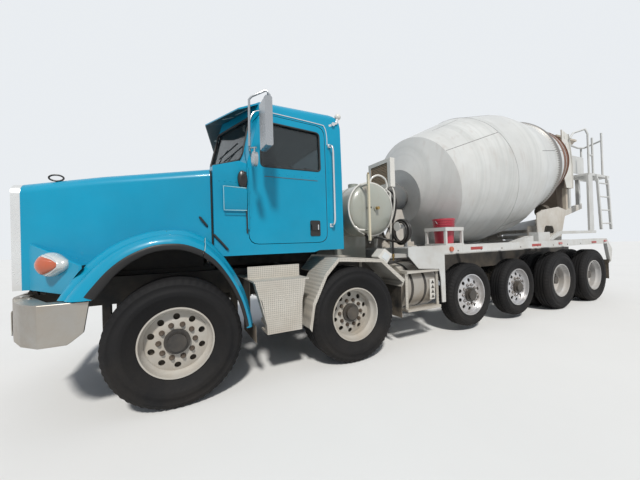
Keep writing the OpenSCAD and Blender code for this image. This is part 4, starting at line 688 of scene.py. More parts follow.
def stud_grid_group(name):
    """Studs over a rectangle in the XY plane."""
    inputs = [("Across", "Int", 2), ("Along", "Int", 2), ("Width", "Float", 0.1), ("Length", "Float", 0.1)]
    return stud_group(name, inputs, "GeometryNodeMeshGrid", Vertices_X="Across", Vertices_Y="Along",
                      Size_X="Width", Size_Y="Length")


GROWERS = {"Studs round a circle": stud_circle_group, "Studs over a grid": stud_grid_group}


def grown(name, group, body, places, finish_name, **inputs):
    """Runs a geometry group, keeps its mesh at each place and lets it ride a body."""
    tree = bpy.data.node_groups.get(group) or GROWERS[group](group)
    host = linked(name, bpy.data.meshes.new(name + "_host"))
    modifier = host.modifiers.new("Grow", "NODES")
    modifier.node_group = tree
    values = {key.replace("_", " "): value for key, value in inputs.items()}
    values["Finish"] = finish(finish_name)
    for item in tree.interface.items_tree:
        if item.in_out == "INPUT" and item.name in values:
            modifier[item.identifier] = values[item.name]
    bpy.context.view_layer.update()
    graph = bpy.context.evaluated_depsgraph_get()
    single = bpy.data.meshes.new_from_object(host.evaluated_get(graph))
    host.modifiers.remove(modifier)
    joined = bmesh.new()
    for place in places:
        copy = single.copy()
        copy.transform(place)
        joined.from_mesh(copy)
        bpy.data.meshes.remove(copy)
    bmesh.ops.recalc_face_normals(joined, faces=joined.faces)
    data = bpy.data.meshes.new(name)
    joined.to_mesh(data)
    joined.free()
    data.materials.append(finish(finish_name))
    blank = host.data
    host.data = data
    bpy.data.meshes.remove(blank)
    bpy.data.meshes.remove(single)
    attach(host, body)
    return host


def facing(place, normal, up=(0, 0, 1)):
    """Matrix that carries the XY plane to a frame point, with its Z along normal and its Y near up."""
    normal = Vector(normal).normalized()
    across = Vector(up).cross(normal)
    if across.length < 0.001:
        across = Vector((1, 0, 0))
    across.normalize()
    along = normal.cross(across)
    turned = Matrix((across, along, normal)).transposed().to_4x4()
    return Matrix.Translation(place) @ turned


# Wheels

# By axle: radius and width of the tyre, width of the rim, its outer face and the depth of its disc,
# number of tyres a side, and the finish of the rim
WHEELS = (
    (0.545, 0.420, 0.311, 1.200, 0.070, 1, "White rim"),
    (0.536, 0.385, 0.298, 1.205, 0.130, 1, "White rim"),
    (0.464, 0.255, 0.190, 1.143, 0.035, 1, "Bright rim"),
    (0.464, 0.255, 0.190, 1.143, 0.035, 1, "Bright rim"),
    (0.525, 0.279, 0.210, 1.190, 0.275, 2, "Pale rim"),
    (0.525, 0.279, 0.210, 1.190, 0.275, 2, "Pale rim"),
)
FLANGE_RADIUS = 0.298
TWIN_SPACING = 0.340
NUT_CIRCLE = 0.14288
TREAD_STEPS = 224
NOTCH_DEPTH = 0.009
HUB_RADIUS = 0.113
# Rings of small pieces on a wheel's disc: name, distance from the disc, sides, foot and head radius, height
STUD_RINGS = (("washers", 0.0, 20, 0.0235, 0.0225, 0.006), ("nuts", 0.006, 6, 0.0190, 0.0170, 0.017),
              ("studs", 0.023, 10, 0.0105, 0.0095, 0.007))


def tyre_profile(radius, width, seat_width, cut):
    """Section of a tyre from one bead to the other; cut is how deep its shoulder notch is at this place."""
    half = seat_width / 2 - 0.0003
    middle = (FLANGE_RADIUS + radius) / 2
    side = width / 2
    wall = [(0.2866, half), (0.300, half), (0.312, half + 0.008), (0.322, half + 0.012),
            (0.328, half + 0.016), (middle - 0.030, side - 0.010), (middle - 0.026, side - 0.006),
            (middle - 0.010, side - 0.004), (middle + 0.004, side - 0.001), (middle + 0.020, side - 0.001),
            (middle + 0.024, side - 0.005), (radius - 0.062, side - 0.010), (radius - 0.056, side - 0.006),
            (radius - 0.046, side - 0.007),
            (radius - 0.040, side - 0.012 - cut * 0.3), (radius - 0.020, side - 0.024 - cut),
            (radius - 0.010, side - 0.036 - cut), (radius - 0.003 - cut * 0.5, side - 0.052),
            (radius - 0.001 - cut * 0.3, side - 0.068)]
    grooves = []
    lanes = 3 if width < 0.33 else 4
    span = side - 0.068
    for k in range(lanes):
        centre = span - (k + 0.5) * 2 * span / lanes
        for offset, depth in ((0.010, 0.0), (0.0065, 0.012), (-0.0065, 0.012), (-0.010, 0.0)):
            grooves.append((radius - 0.0005 - depth, centre + offset))
    mirrored = [(r, -y) for r, y in reversed(wall)]
    return wall + grooves + mirrored


def add_tyre(shape, centre, radius, width, seat_width, side):
    """A grooved tyre with notched shoulders round an axis along Y."""
    rings = []
    for k, angle in enumerate(circle(TREAD_STEPS)):
        out = Vector((math.cos(angle), 0, math.sin(angle)))
        profile = tyre_profile(radius, width, seat_width, NOTCH_DEPTH if k % 4 < 2 else 0.0)
        rings.append([centre + out * r + Vector((0, side * y, 0)) for r, y in profile])
    shape.sweep(rings, "Tyre rubber", closed=True)


def rim_finish(axle_centre, rim_name):
    """Names the finish of a rim's face: the hub in its middle is dark."""
    def pick(centre, normal):
        radius = math.hypot(centre.x - axle_centre.x, centre.z - axle_centre.z)
        return "Hub enamel" if radius < HUB_RADIUS else rim_name
    return pick


class TRUCK_OT_wheels(bpy.types.Operator):
    """Rims from the frame, grooved tyres, nuts and hub caps"""
    bl_idname = "truck.wheels"
    bl_label = "Wheels"

    def execute(self, context):
        for index, values in enumerate(WHEELS):
            for word, side in SIDES.items():
                self.add_wheel("wheel_%d_%s" % (index + 1, word), side, *values)
        return {"FINISHED"}

    def add_wheel(self, node, side, radius, width, seat_width, face, depth, tyres, rim_name):
        low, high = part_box(node)
        centre = Vector(((low.x + high.x) / 2, 0, (low.z + high.z) / 2))
        tyre = Shape(node + "_tyre", NODE_BODY[node])
        for k in range(tyres):
            middle = face - 0.012 - seat_width / 2 - k * TWIN_SPACING
            add_tyre(tyre, centre + Vector((0, side * middle, 0)), radius, width, seat_width, side)
        tyre.done(angle=60.0)
        cad_copy(node, node + "_rim", rim_finish(centre, rim_name),
                 keep=lambda group: min(math.hypot(v.co.x - centre.x, v.co.z - centre.z)
                                        for f in group for v in f.verts) < 0.2)
        out = Vector((0, side, 0))
        disc = centre + out * (face - depth)
        body = NODE_BODY[node]
        drum = Shape(node + "_brake_drum", body)
        behind = 0.045
        section = [(0.130, -behind), (0.262, -behind), (0.262, -behind - 0.012), (0.130, -behind - 0.012)]
        drum.lathe(section, disc, out, "Wheel well")
        drum.done()
        nut_name = "Bright rim" if rim_name == "Bright rim" else "Nut steel"
        for name, off, sides, foot, top, height in STUD_RINGS:
            grown("%s_%s" % (node, name), "Studs round a circle", body, [facing(disc + out * off, out)],
                  nut_name if name == "nuts" else "Nut steel", Count=10, Radius=NUT_CIRCLE, Sides=sides,
                  Foot_radius=foot, Head_radius=top, Height=height)


# Outlines shared with the solids

DRUM_TILT = math.radians(12.886)
DRUM_START = (-3.0, 0.0, 1.989)
# Distance along the drum's axis and outer radius
DRUM_PROFILE = ((0.622, 0.465), (0.965, 0.974), (2.065, 1.216), (2.909, 1.220), (4.599, 0.835),
                (4.860, 0.775))
DRUM_BAND = 4.599
# Where the bare rusty plate of the mouth begins
RUST_FROM = 4.430


def drum_axes():
    """The drum's start, its axis and the direction that is up across it."""
    axis = Vector((-math.cos(DRUM_TILT), 0.0, math.sin(DRUM_TILT)))
    return at(*DRUM_START), axis, Vector((math.sin(DRUM_TILT), 0.0, math.cos(DRUM_TILT)))


def drum_radius(station):
    for (s0, r0), (s1, r1) in zip(DRUM_PROFILE, DRUM_PROFILE[1:]):
        if s0 <= station <= s1:
            return r0 + (r1 - r0) * (station - s0) / (s1 - s0)
    return DRUM_PROFILE[-1][1]


def soft(points, reach):
    """Outline with each corner rounded over a length."""
    out = []
    count = len(points)
    for i, point in enumerate(points):
        corner = Vector(point)
        before = Vector(points[i - 1])
        after = Vector(points[(i + 1) % count])
        a = corner + (before - corner).normalized() * reach
        b = corner + (after - corner).normalized() * reach
        for t in (0.0, 0.25, 0.5, 0.75, 1.0):
            out.append((1 - t) ** 2 * a + 2 * t * (1 - t) * corner + t * t * b)
    return out


def cab_side_y(z):
    """Distance of the cab's side from the middle at a height."""
    return 1.0 - 0.015 * max(0.0, (z - 2.14) / 0.64)


PANE_OUTLINE = soft([(0.030, -0.002), (0.845, -0.117), (0.880, -0.060), (0.846, 0.395), (0.030, 0.432)],
                    0.030)
WINDOW_OUTLINE = soft([(-0.815, 2.165), (-0.815, 2.33), (-0.905, 2.64), (-1.505, 2.605), (-1.505, 2.165)],
                      0.045)
PANE_CENTRE = (-0.430, 0.0, 2.370)
PANE_TURN = math.radians(16.4)
PANE_LEAN = math.radians(-15.3)


def pane_point(side, out, y, z):
    """A place on one half of the windshield, from its own plane."""
    turn = Matrix.Rotation(PANE_TURN * side, 3, "Z") @ Matrix.Rotation(PANE_LEAN, 3, "Y")
    return at(*PANE_CENTRE) + turn @ Vector((out, side * y, z))


# Solids of the frame, shown by merged copies with smooth shading

PLAIN_SOLIDS = {
    "Chassis paint": "frame_rails powertrain front_axle pusher_axles drive_axles knuckle_left knuckle_right "
                     "lift_barrel",
    "Oily steel": "roller_left roller_right",
    "Bumper aluminium": "front_bumper lift_rod",
    "Exhaust steel": "exhaust",
    "Step aluminium": "step_boxes second_fenders",
    "Flap rubber": "mud_flaps",
    "Cab plastic": "cab_interior",
    "Mixer paint": "body_frame platform main_chute fold_chute chute_swivel",
    "Pedestal paint": "front_pedestal rear_pedestal",
    "Drive paint": "drum_drive",
    "Bucket plastic": "bucket",
}
DRESSED_SOLIDS = {"Clear glass": "cab_glass door_glass_left door_glass_right", "Brass": "hose_nozzle"}


def sorted_finish(default, *rules):
    """Picks the finish of a face by its place: rules are a finish and a test of x, y, z and the normal."""
    def pick(centre, normal):
        x, y, z = centre.x - AXLE_X, abs(centre.y), centre.z
        for name, test in rules:
            if test(x, y, z, Vector((normal.x, math.copysign(1, centre.y) * normal.y, normal.z))):
                return name
        return default
    return pick


def turned_to(place, normal, target):
    """True where a face looks towards a target, both measured from the front axle."""
    return normal.dot(Vector(target) - Vector(place)) > 0.02


def inside_cab(x, y, z, normal):
    return z > 1.26 and turned_to((x, y, z), normal, (-1.05, 0.0, 2.05))


def inside_hood(x, y, z, normal):
    """True on the hood's and the fenders' inner faces, apart from the bracket beside the headlamp."""
    if x > 0.55 and 0.80 < y <= 0.97 and z > 0.98:
        return False
    if y > 0.97:
        return turned_to((x, y, z), normal, (0.0, min(y, 1.0), 0.56))
    return turned_to((x, y, z), normal, (0.40, 0.0, 1.20))


def drum_station(x, y, z):
    """How far a place lies along the drum's axis, and how far from the axis."""
    start, axis = drum_axes()[:2]
    place = at(x, y, z) - start
    station = place.dot(axis)
    return station, (place - axis * station).length


def inside_drum(x, y, z, normal):
    station, radius = drum_station(x, y, z)
    return radius < drum_radius(station) - 0.009 and 0.63 < station < 4.87


def on_track(x, y, z, normal):
    station, radius = drum_station(x, y, z)
    return radius > drum_radius(station) + 0.02 and 3.8 < station < 4.0


PICKED_SOLIDS = {
    "fuel_tanks": sorted_finish(
        "Tank aluminium", ("Step aluminium", lambda x, y, z, n: z > 0.92 or y > 1.16)),
    "fender_backs": sorted_finish("Cab enamel", ("Wheel well", inside_hood)),
    "cab_shell": sorted_finish("Cab enamel", ("Cab lining", inside_cab)),
    # Faces of the visor that look down take the darker copy of the enamel, a painted shade
    "sun_visor": sorted_finish("Cab enamel", ("Visor underside", lambda x, y, z, n: n.z < -0.3)),
    "water_tank": sorted_finish(
        "Tank paint", ("Gauge cream", lambda x, y, z, n: y > 1.08 and -2.12 < x < -2.08),
        # White on the flange ring round the head: a painted highlight of its rim
        ("White enamel", lambda x, y, z, n: 0.888 < y < 0.914 and math.hypot(x + 2.275, z - 1.765) > 0.338)),
    "oil_cooler": sorted_finish(
        "White enamel", ("Lamp black", lambda x, y, z, n: x < -2.745 and z > 2.11),
        ("Cooler core", lambda x, y, z, n: -2.684 < x < -2.661 and 0.415 < y < 0.795 and 2.145 < z < 2.445)),
    "charge_hopper": sorted_finish(
        "Hopper paint", ("Residue", lambda x, y, z, n: z < 2.72 and y < 0.44),
        ("White enamel", lambda x, y, z, n: y > 0.619)),
    "hood": sorted_finish("Cab enamel", ("Wheel well", inside_hood)),
    "grille": sorted_finish("Grille chrome", ("Lamp pod", lambda x, y, z, n: x < 1.10)),
    "drum": sorted_finish(
        "Drum paint", ("Drum inside", inside_drum), ("Track steel", on_track),
        ("Mouth rust", lambda x, y, z, n: drum_station(x, y, z)[0] > DRUM_BAND + 0.004)),
    "marker_lamps": sorted_finish(
        "Red lens", ("Amber lens", lambda x, y, z, n: x > -4.0)),
}
for word in SIDES:
    PICKED_SOLIDS["door_" + word] = sorted_finish(
        "Cab enamel", ("Lamp black", lambda x, y, z, n: y > 1.003 and x < -1.3), ("Cab lining", inside_cab))
    PICKED_SOLIDS["mirror_" + word] = sorted_finish(
        "Mirror chrome",
        ("Mirror glass", lambda x, y, z, n: n.x < -0.9 and (x < -0.81 and y > 1.24 or z < 2.2 and x < -0.68)))
# Groups of faces that stay; the lamp on the cowl is drawn again as an oval one
KEPT = {"marker_lamps": lambda group: group[0].verts[0].co.x - AXLE_X < -1.0}
BEVELS = {"front_bumper": 0.006, "step_boxes": 0.002, "second_fenders": 0.002, "body_frame": 0.003,
          "platform": 0.003, "bucket": 0.003, "drum_drive": 0.006, "front_pedestal": 0.003}


class TRUCK_OT_solids(bpy.types.Operator):
    """Smoothly shaded copies of the frame's solids, each face in its finish"""
    bl_idname = "truck.solids"
    bl_label = "Solids"

    def execute(self, context):
        picks = dict(PICKED_SOLIDS)
        for name, nodes in PLAIN_SOLIDS.items():
            for node in nodes.split():
                picks[node] = lambda centre, normal, name=name: name
        for node, pick in picks.items():
            cad_copy(node, node + "_skin", pick, keep=KEPT.get(node), bevel=BEVELS.get(node, 0.0))
        for name, nodes in DRESSED_SOLIDS.items():
            for node in nodes.split():
                mesh = frame["nodes"][node].data
                mesh.materials.clear()
                mesh.materials.append(finish(name))
        return {"FINISHED"}


# Wash hose

HOSE_RADIUS = 0.014
GLAND = (-2.3723, 0.800, 1.400)
HOSE_IN = (GLAND, (-2.440, 0.802, 1.397), (-2.530, 0.830, 1.378), (-2.590, 0.900, 1.352),
           (-2.609, 0.980, 1.334), (-2.609, 1.040, 1.329))
COIL_CENTRE = (-2.640, 1.040, 1.460)
COIL_RADIUS = 0.131
# What the outer turns add to the coil's radius
OUTER_STEP = 0.028
INNER_TURNS = 2.0
OUTER_TURNS = 1.75
TURN_STEPS = 24
HOSE_OUT = ((-2.640, 0.881, 1.460), (-2.640, 0.881, 1.405), (-2.636, 0.885, 1.330), (-2.629, 0.893, 1.260),
            (-2.626, 0.898, 1.210), (-2.626, 0.898, 1.1697))


def eased(value, low, high):
    t = min(1.0, max(0.0, (value - low) / (high - low)))
    return t * t * (3 - 2 * t)


def coil_place(turn):
    """Place on the coil after a number of turns: two turns inside, then the rest laid over them."""
    over = turn - INNER_TURNS
    if over <= 0:
        x = 0.031 - 0.056 * turn / INNER_TURNS
    else:
        x = (-0.025 - 0.003 * eased(over, 0.0, 0.65) + 0.030 * eased(over, 0.65, 1.1)
             - 0.002 * eased(over, 1.1, 1.65))
    radius = COIL_RADIUS + OUTER_STEP * eased(over, 0.0, 0.25)
    angle = 2 * math.pi * turn
    return (COIL_CENTRE[0] + x, COIL_CENTRE[1] + radius * math.sin(angle),
            COIL_CENTRE[2] - radius * math.cos(angle))


def hose_route():
    """Places along the middle of the wash hose, from the tank to the nozzle."""
    steps = int((INNER_TURNS + OUTER_TURNS) * TURN_STEPS)
    coil = [coil_place(k / TURN_STEPS) for k in range(steps + 1)]
    lead = curve_points(HOSE_IN, 3)[:-1]
    tail = curve_points(HOSE_OUT, 3)[1:]
    return [at(*point) for point in lead + coil + tail]


class TRUCK_OT_wash_hose(bpy.types.Operator):
    """The coiled wash hose between the tank's outlet and its nozzle"""
    bl_idname = "truck.wash_hose"
    bl_label = "Wash hose"

    def execute(self, context):
        route = hose_route()
        curve = bpy.data.curves.new("hose_cord", "CURVE")
        curve.dimensions = "3D"
        spline = curve.splines.new("POLY")
        spline.points.add(len(route) - 1)
        for point, place in zip(spline.points, route):
            point.co = (*place, 1.0)
        curve.bevel_depth = HOSE_RADIUS
        curve.bevel_resolution = 3
        curve.use_fill_caps = True
        curve.materials.append(finish("Hose rubber"))
        hose = linked("hose_cord", curve)
        body = NODE_BODY["wash_hose"]
        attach(hose, body)
        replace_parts(hose, "wash_hose", "hose_run")
        length = sum((b - a).length for a, b in zip(route, route[1:]))
        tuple(route[0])
        return {"FINISHED"}


# Stage

CAMERA_PLACE = (0.002, 3.923, 1.362)
CAMERA_YAW = math.radians(-116.807)
CAMERA_PITCH = math.radians(0.377)
CAMERA_ROLL = math.radians(-1.690)
FOCAL_PIXELS = 288.106
PHOTO_WIDTH = 640
SENSOR_WIDTH = 36.0
FLOOR_REACH = 60.0
SKY_COLOUR = (0.80, 0.88, 1.0)
SKY_STRENGTH = 0.40
BACKDROP = (0.82, 0.85, 0.88)
SUN_ENERGY = 3.1
SUN_COLOUR = (1.0, 0.97, 0.92)


class TRUCK_OT_stage(bpy.types.Operator):
    """Camera at the photo's viewpoint, pale floor and soft studio light"""
    bl_idname = "truck.stage"
    bl_label = "Stage"

    def execute(self, context):
        scene = context.scene
        scene.view_settings.view_transform = "Standard"
        camera = linked("camera", bpy.data.cameras.new("camera"))
        scene.camera = camera
        camera.data.sensor_width = SENSOR_WIDTH
        camera.data.lens = FOCAL_PIXELS / PHOTO_WIDTH * SENSOR_WIDTH
        forward = Vector((math.cos(CAMERA_PITCH) * math.cos(CAMERA_YAW),
                          math.cos(CAMERA_PITCH) * math.sin(CAMERA_YAW), math.sin(CAMERA_PITCH)))
        right = forward.cross(Vector((0, 0, 1))).normalized()
        up = right.cross(forward)
        turned_right = math.cos(CAMERA_ROLL) * right + math.sin(CAMERA_ROLL) * up
        turned_up = -math.sin(CAMERA_ROLL) * right + math.cos(CAMERA_ROLL) * up
        axes = Matrix((turned_right, turned_up, -forward)).transposed().to_4x4()
        camera.matrix_world = Matrix.Translation(at(*CAMERA_PLACE)) @ axes
        camera.data.clip_end = 200.0
        self.add_floor()
        self.add_world(scene)
        self.add_sun()
        return {"FINISHED"}

    def add_floor(self):
        mesh = bpy.data.meshes.new("floor")
        corners = [(x * FLOOR_REACH, y * FLOOR_REACH, 0) for x, y in ((-1, -1), (1, -1), (1, 1), (-1, 1))]
        mesh.from_pydata(corners, [], [(0, 1, 2, 3)])
        floor = linked("floor", mesh)
        material, tree, shader, place = new_finish("Studio floor")
        tone = between(tree, noise(tree, place, 0.6), 0.3, 0.7)
        base = tuple(colours().floor)
        link(tree, mixed(tree, tone, tuple(c * 0.97 for c in base), base), shader.inputs["Base Color"])
        shader.inputs["Roughness"].default_value = 0.9
        mesh.materials.append(material)
        floor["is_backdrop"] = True

    def add_world(self, scene):
        world = bpy.data.worlds.new("studio")
        scene.world = world
        world.use_nodes = True
        tree = world.node_tree
        light = set_inputs(tree, tree.nodes["Background"], Color=SKY_COLOUR, Strength=SKY_STRENGTH)
        white = new_node(tree, "ShaderNodeBackground", Color=BACKDROP)
        rays = tree.nodes.new("ShaderNodeLightPath")
        seen = math_node(tree, "MAXIMUM", rays.outputs["Is Camera Ray"], rays.outputs["Is Glossy Ray"])
        seen = math_node(tree, "MAXIMUM", seen, rays.outputs["Is Transmission Ray"])
        pick = tree.nodes.new("ShaderNodeMixShader")
        link(tree, seen, pick.inputs[0])
        link(tree, light.outputs[0], pick.inputs[1])
        link(tree, white.outputs[0], pick.inputs[2])
        link(tree, pick.outputs[0], tree.nodes["World Output"].inputs["Surface"])

    def add_sun(self):
        lamp = bpy.data.lights.new("sun", "SUN")
        lamp.energy = SUN_ENERGY
        lamp.angle = math.radians(6)
        lamp.color = SUN_COLOUR
        linked("sun", lamp).rotation_euler = (math.radians(-38), math.radians(18), 0)


# Nose

FRONT_CREST = ((0.850, 0.900), (0.823, 0.960), (0.706, 1.147), (0.552, 1.312), (0.390, 1.424), (0.181, 1.498),
               (-0.005, 1.509), (-0.130, 1.492), (-0.246, 1.440))
FRONT_ARCH = ((0.662, 0.860), (0.610, 0.915), (0.522, 1.035), (0.420, 1.165), (0.300, 1.263), (0.150, 1.330),
              (-0.010, 1.342), (-0.115, 1.318), (-0.216, 1.272))
BACK_CREST = ((-0.254, 1.434), (-0.369, 1.314), (-0.498, 1.122), (-0.595, 0.925), (-0.647, 0.728),
              (-0.672, 0.590))
BACK_ARCH = ((-0.222, 1.266), (-0.330, 1.170), (-0.442, 1.000), (-0.520, 0.820), (-0.562, 0.660),
             (-0.577, 0.560))
# Split between a fender's halves, where a pale strip is laid as a painted highlight: distance from the middle and
# share of the way down its face
FENDER_EDGE = ((1.082, 0.04), (1.112, 0.14), (1.128, 0.27), (1.160, 0.29), (1.200, 0.38), (1.228, 0.52),
               (1.240, 0.72))
# Where a lip's middle lies between crest and arch, and the share of that way that it covers to either side
LIP_SHARE = 0.900
LIP_REACH = 0.165
POD_FRONT = (0.872, 0.930, 1.245)
POD_REAR = (0.770, 1.025, 1.245)
POD_RADII = (0.096, 0.042)
# Amber lens on the pod's flank: its ends along the pod, half its height in front and how far it hangs low
LENS_FRONT = -0.050
LENS_REAR = 0.138
LENS_HALF = 0.079
LENS_DROP = -0.004


def fender_courses(crest, arch, steps=10):
    """Matched places along a fender's crest and its arch."""
    upper = curve_points([(x, z, 0) for x, z in crest], steps)
    lower = curve_points([(x, z, 0) for x, z in arch], steps)
    return list(zip(upper, lower))


def add_fender_lip(shape, crest, arch, low_end):
    """Rounded rubber lip along the open edge of a fender."""
    rings = []
    for c, a in fender_courses(crest, arch):
        middle = c.lerp(a, LIP_SHARE)
        if middle.y < low_end:
            continue
        across = (a - c).normalized()
        half = (a - c).length * LIP_REACH
        ring = []
        for angle in circle(14):
            place = middle + across * half * math.cos(angle)
            ring.append(shape.at(place.x, 1.2345 + 0.0125 * math.sin(angle), place.y))
        rings.append(ring)
    shape.sweep(rings, "Fender rubber")


def pod_point(side, along, height, lift):
    """A place on the flank of a headlamp pod: along runs rearwards from the front sphere's centre."""
    front, rear = Vector(POD_FRONT), Vector(POD_REAR)
    run = rear - front
    axis = run.normalized()
    out = Vector((axis.y, -axis.x, 0.0))
    sine = (POD_RADII[0] - POD_RADII[1]) / run.length
    cosine = math.sqrt(1 - sine * sine)
    first = POD_RADII[0] * sine
    if along < first:
        radius = math.sqrt(max(0.0, POD_RADII[0] ** 2 - along ** 2))
    else:
        radius = POD_RADII[0] * cosine - (along - first) * sine / cosine
    depth = math.sqrt(max(0.0, radius ** 2 - height ** 2))
    place = front + axis * along + Vector((0, 0, height)) + out * (depth + lift)
    return at(place.x, side * place.y, place.z)


class TRUCK_OT_nose(bpy.types.Operator):
    """Fender lips, lamp lenses, hood mirrors and latches, bumper bolts and the blank plate"""
    bl_idname = "truck.nose"
    bl_label = "Nose"

    def execute(self, context):
        for word, side in SIDES.items():
            lip = Shape("fender_lip_front_" + word, NODE_BODY["hood"], side)
            add_fender_lip(lip, FRONT_CREST, FRONT_ARCH, 0.985)
            lip.done()
            lip = Shape("fender_lip_back_" + word, NODE_BODY["fender_backs"], side)
            add_fender_lip(lip, BACK_CREST, BACK_ARCH, 0.60)
            # A pale strip along the split between the fender's halves, a painted highlight of its edge
            edge = [lip.at(-0.252 + 0.030 * f, y + 0.004, 1.434 - 0.168 * f) for y, f in FENDER_EDGE]
            lip.sweep([disc_ring(place, Vector((1, 0, 0)), Vector((0, 0, 1)), 0.003, 6) for place in edge],
                      "Split edge")
            lip.done()
            self.add_pod_lens(word, side)
            self.add_hood_fittings(word, side)
        self.add_bumper_pieces()
        return {"FINISHED"}

    def add_pod_lens(self, word, side):
        """Amber lens with rounded corners on the flank, in a bright frame, and the clear lens in front."""
        shape = Shape("pod_lens_" + word, NODE_BODY["grille"], side)
        rows = []
        spans = 12
        for i in range(spans + 1):
            share = i / spans
            along = LENS_FRONT + (LENS_REAR - LENS_FRONT) * share
            half = LENS_HALF * (1 - share ** 1.9) ** 0.9 * min(1.0, 0.74 + share * 2.6) + 0.006
            rim = i in (0, spans)
            rows.append([pod_point(side, along, LENS_DROP * (1 - share) - half + 2 * half * k / 10,
                                   -0.006 if rim or k in (0, 10) else 0.005) for k in range(11)])
        points = [point for row in rows for point in row]
        shape.faces(points, lattice(len(rows), len(rows[0])), "Amber lens", True)
        lower, upper = [row[0] for row in rows], [row[-1] for row in rows]
        shape.hoop(lower + rows[-1][1:] + upper[-2::-1] + rows[0][-2:0:-1], 0.006, "Bright trim")
        front = shape.at(*POD_FRONT)
        axis = Vector((0.96, side * 0.20, 0.0))
        dome = POD_RADII[0] + 0.003
        cap = [(dome * math.sin(a), dome * math.cos(a))
               for a in (math.radians(4 + 44 * k / 7) for k in range(8))]
        last = cap[-1]
        shape.lathe([(0.0005, cap[0][1])] + cap + [(last[0] - 0.004, last[1] - 0.01), (0.0005, 0.05)], front,
                    axis, "Lamp glass", steps=32, closed=False)
        shape.done()

    def add_hood_fittings(self, word, side):
        shape = Shape("hood_fittings_" + word, NODE_BODY["hood"], side)
        loop = [shape.at(0.905 + 0.050 * math.cos(a), 0.665, 1.985 + 0.026 * math.sin(a)) for a in circle(24)]
        shape.hoop(loop, 0.007, "Lamp black")
        shape.rod((0.905, 0.660, 1.945), (0.905, 0.665, 1.962), 0.008, "Lamp black")
        latch = [(-0.222, 0.938, 1.632), (-0.225, 0.960, 1.624), (-0.252, 0.968, 1.586),
                 (-0.280, 0.962, 1.550), (-0.284, 0.945, 1.542)]
        shape.tube(latch, 0.011, "Lamp black")
        shape.done()
        seal = Shape("cowl_seal_" + word, NODE_BODY["cab_shell"], side)
        line = [(0.944, 1.27), (0.944, 1.60), (0.944, 2.02)]
        for k in range(7):
            angle = math.radians(15 * k)
            line.append((0.852 + 0.092 * math.cos(angle), 2.022 + 0.080 * math.sin(angle)))
        line += [(0.60, 2.128), (0.30, 2.150), (0.0, 2.158)]
        seal.tube([(-0.331, y, z) for y, z in line], 0.0085, "Gasket", sides=8)
        # Black tube in the gap between the cab's corner and the back fender: a painted shadow of that gap
        gap_shadow_tube = [(-0.335, 1.008, 1.462), (-0.400, 1.011, 1.388), (-0.462, 1.008, 1.312)]
        seal.tube(gap_shadow_tube, 0.012, "Lamp black")
        seal.done()

    def add_bumper_pieces(self):
        shape = Shape("bumper_plate", NODE_BODY["front_bumper"])
        plate = soft([(0.375, 0.640), (0.555, 0.640), (0.555, 0.850), (0.375, 0.850)], 0.015)
        shape.prism(plate, "x", 1.2495, 1.2535, "White enamel")
        for y in (0.395, 0.535):
            shape.rod((1.2530, y, 0.835), (1.2555, y, 0.835), 0.006, "Bright trim", sides=8)
        for side in SIDES.values():
            for y in (0.15, 0.35, 0.62, 0.80):
                x = 1.19 if y < 0.5 else 1.16 - (y - 0.62) * 0.6
                shape.rod((x, side * y, 0.966), (x, side * y, 0.976), 0.014, "Bright trim", sides=12)
        shape.done()


# Cab

VISOR_SLOTS = (((-0.546, 0.380), (-0.643, 0.481)), ((-0.655, 0.601), (-0.754, 0.765)))


class TRUCK_OT_glazing(bpy.types.Operator):
    """Rubber gaskets round the panes, wipers and the visor's slots"""
    bl_idname = "truck.glazing"
    bl_label = "Glazing"

    def execute(self, context):
        shape = Shape("windshield_gasket", NODE_BODY["cab_shell"])
        for side in SIDES.values():
            shape.hoop([pane_point(side, 0.001, y, z) for y, z in PANE_OUTLINE], 0.012, "Gasket")
            arm = [pane_point(side, out, y, z) for out, y, z in
                   ((-0.01, 0.33, -0.075), (0.018, 0.33, -0.060), (0.026, 0.40, 0.010), (0.026, 0.52, 0.070))]
            shape.course(arm, 0.006, "Lamp black")
            blade = [pane_point(side, 0.016, 0.30 + 0.42 * k / 8, 0.020 + 0.085 * k / 8) for k in range(9)]
            shape.course(blade, 0.008, "Lamp black")
        shape.done()
        for word, side in SIDES.items():
            gasket = Shape("window_gasket_" + word, NODE_BODY["door_" + word], side)
            seat = [gasket.at(x, cab_side_y(z) - 0.002, z) for x, z in WINDOW_OUTLINE]
            gasket.hoop(seat, 0.009, "Gasket")
            gasket.done()
        self.add_visor_slots()
        return {"FINISHED"}

    def add_visor_slots(self):
        """Pale slots laid on the underside, found by a ray from below."""
        shape = Shape("visor_slots", NODE_BODY["sun_visor"])
        visor = frame["nodes"]["sun_visor"]
        corners = [visor.matrix_world @ vert.co for vert in visor.data.vertices]
        tree = BVHTree.FromPolygons(corners, [tuple(face.vertices) for face in visor.data.polygons])
        for side in SIDES.values():
            for start, end in VISOR_SLOTS:
                start, end = Vector(start), Vector(end)
                across = (end - start).normalized().orthogonal() * 0.016
                rings = []
                for depth in (0.002, -0.004):
                    ring = []
                    for place in (start - across, end - across, end + across, start + across):
                        low = at(place.x, side * place.y, 2.0)
                        found = tree.ray_cast(low, Vector((0, 0, 1)))[0]
                        ring.append(Vector((low.x, low.y, found.z + depth)))
                    rings.append(ring)
                shape.sweep(rings, "White enamel", smooth=False)
        shape.done()


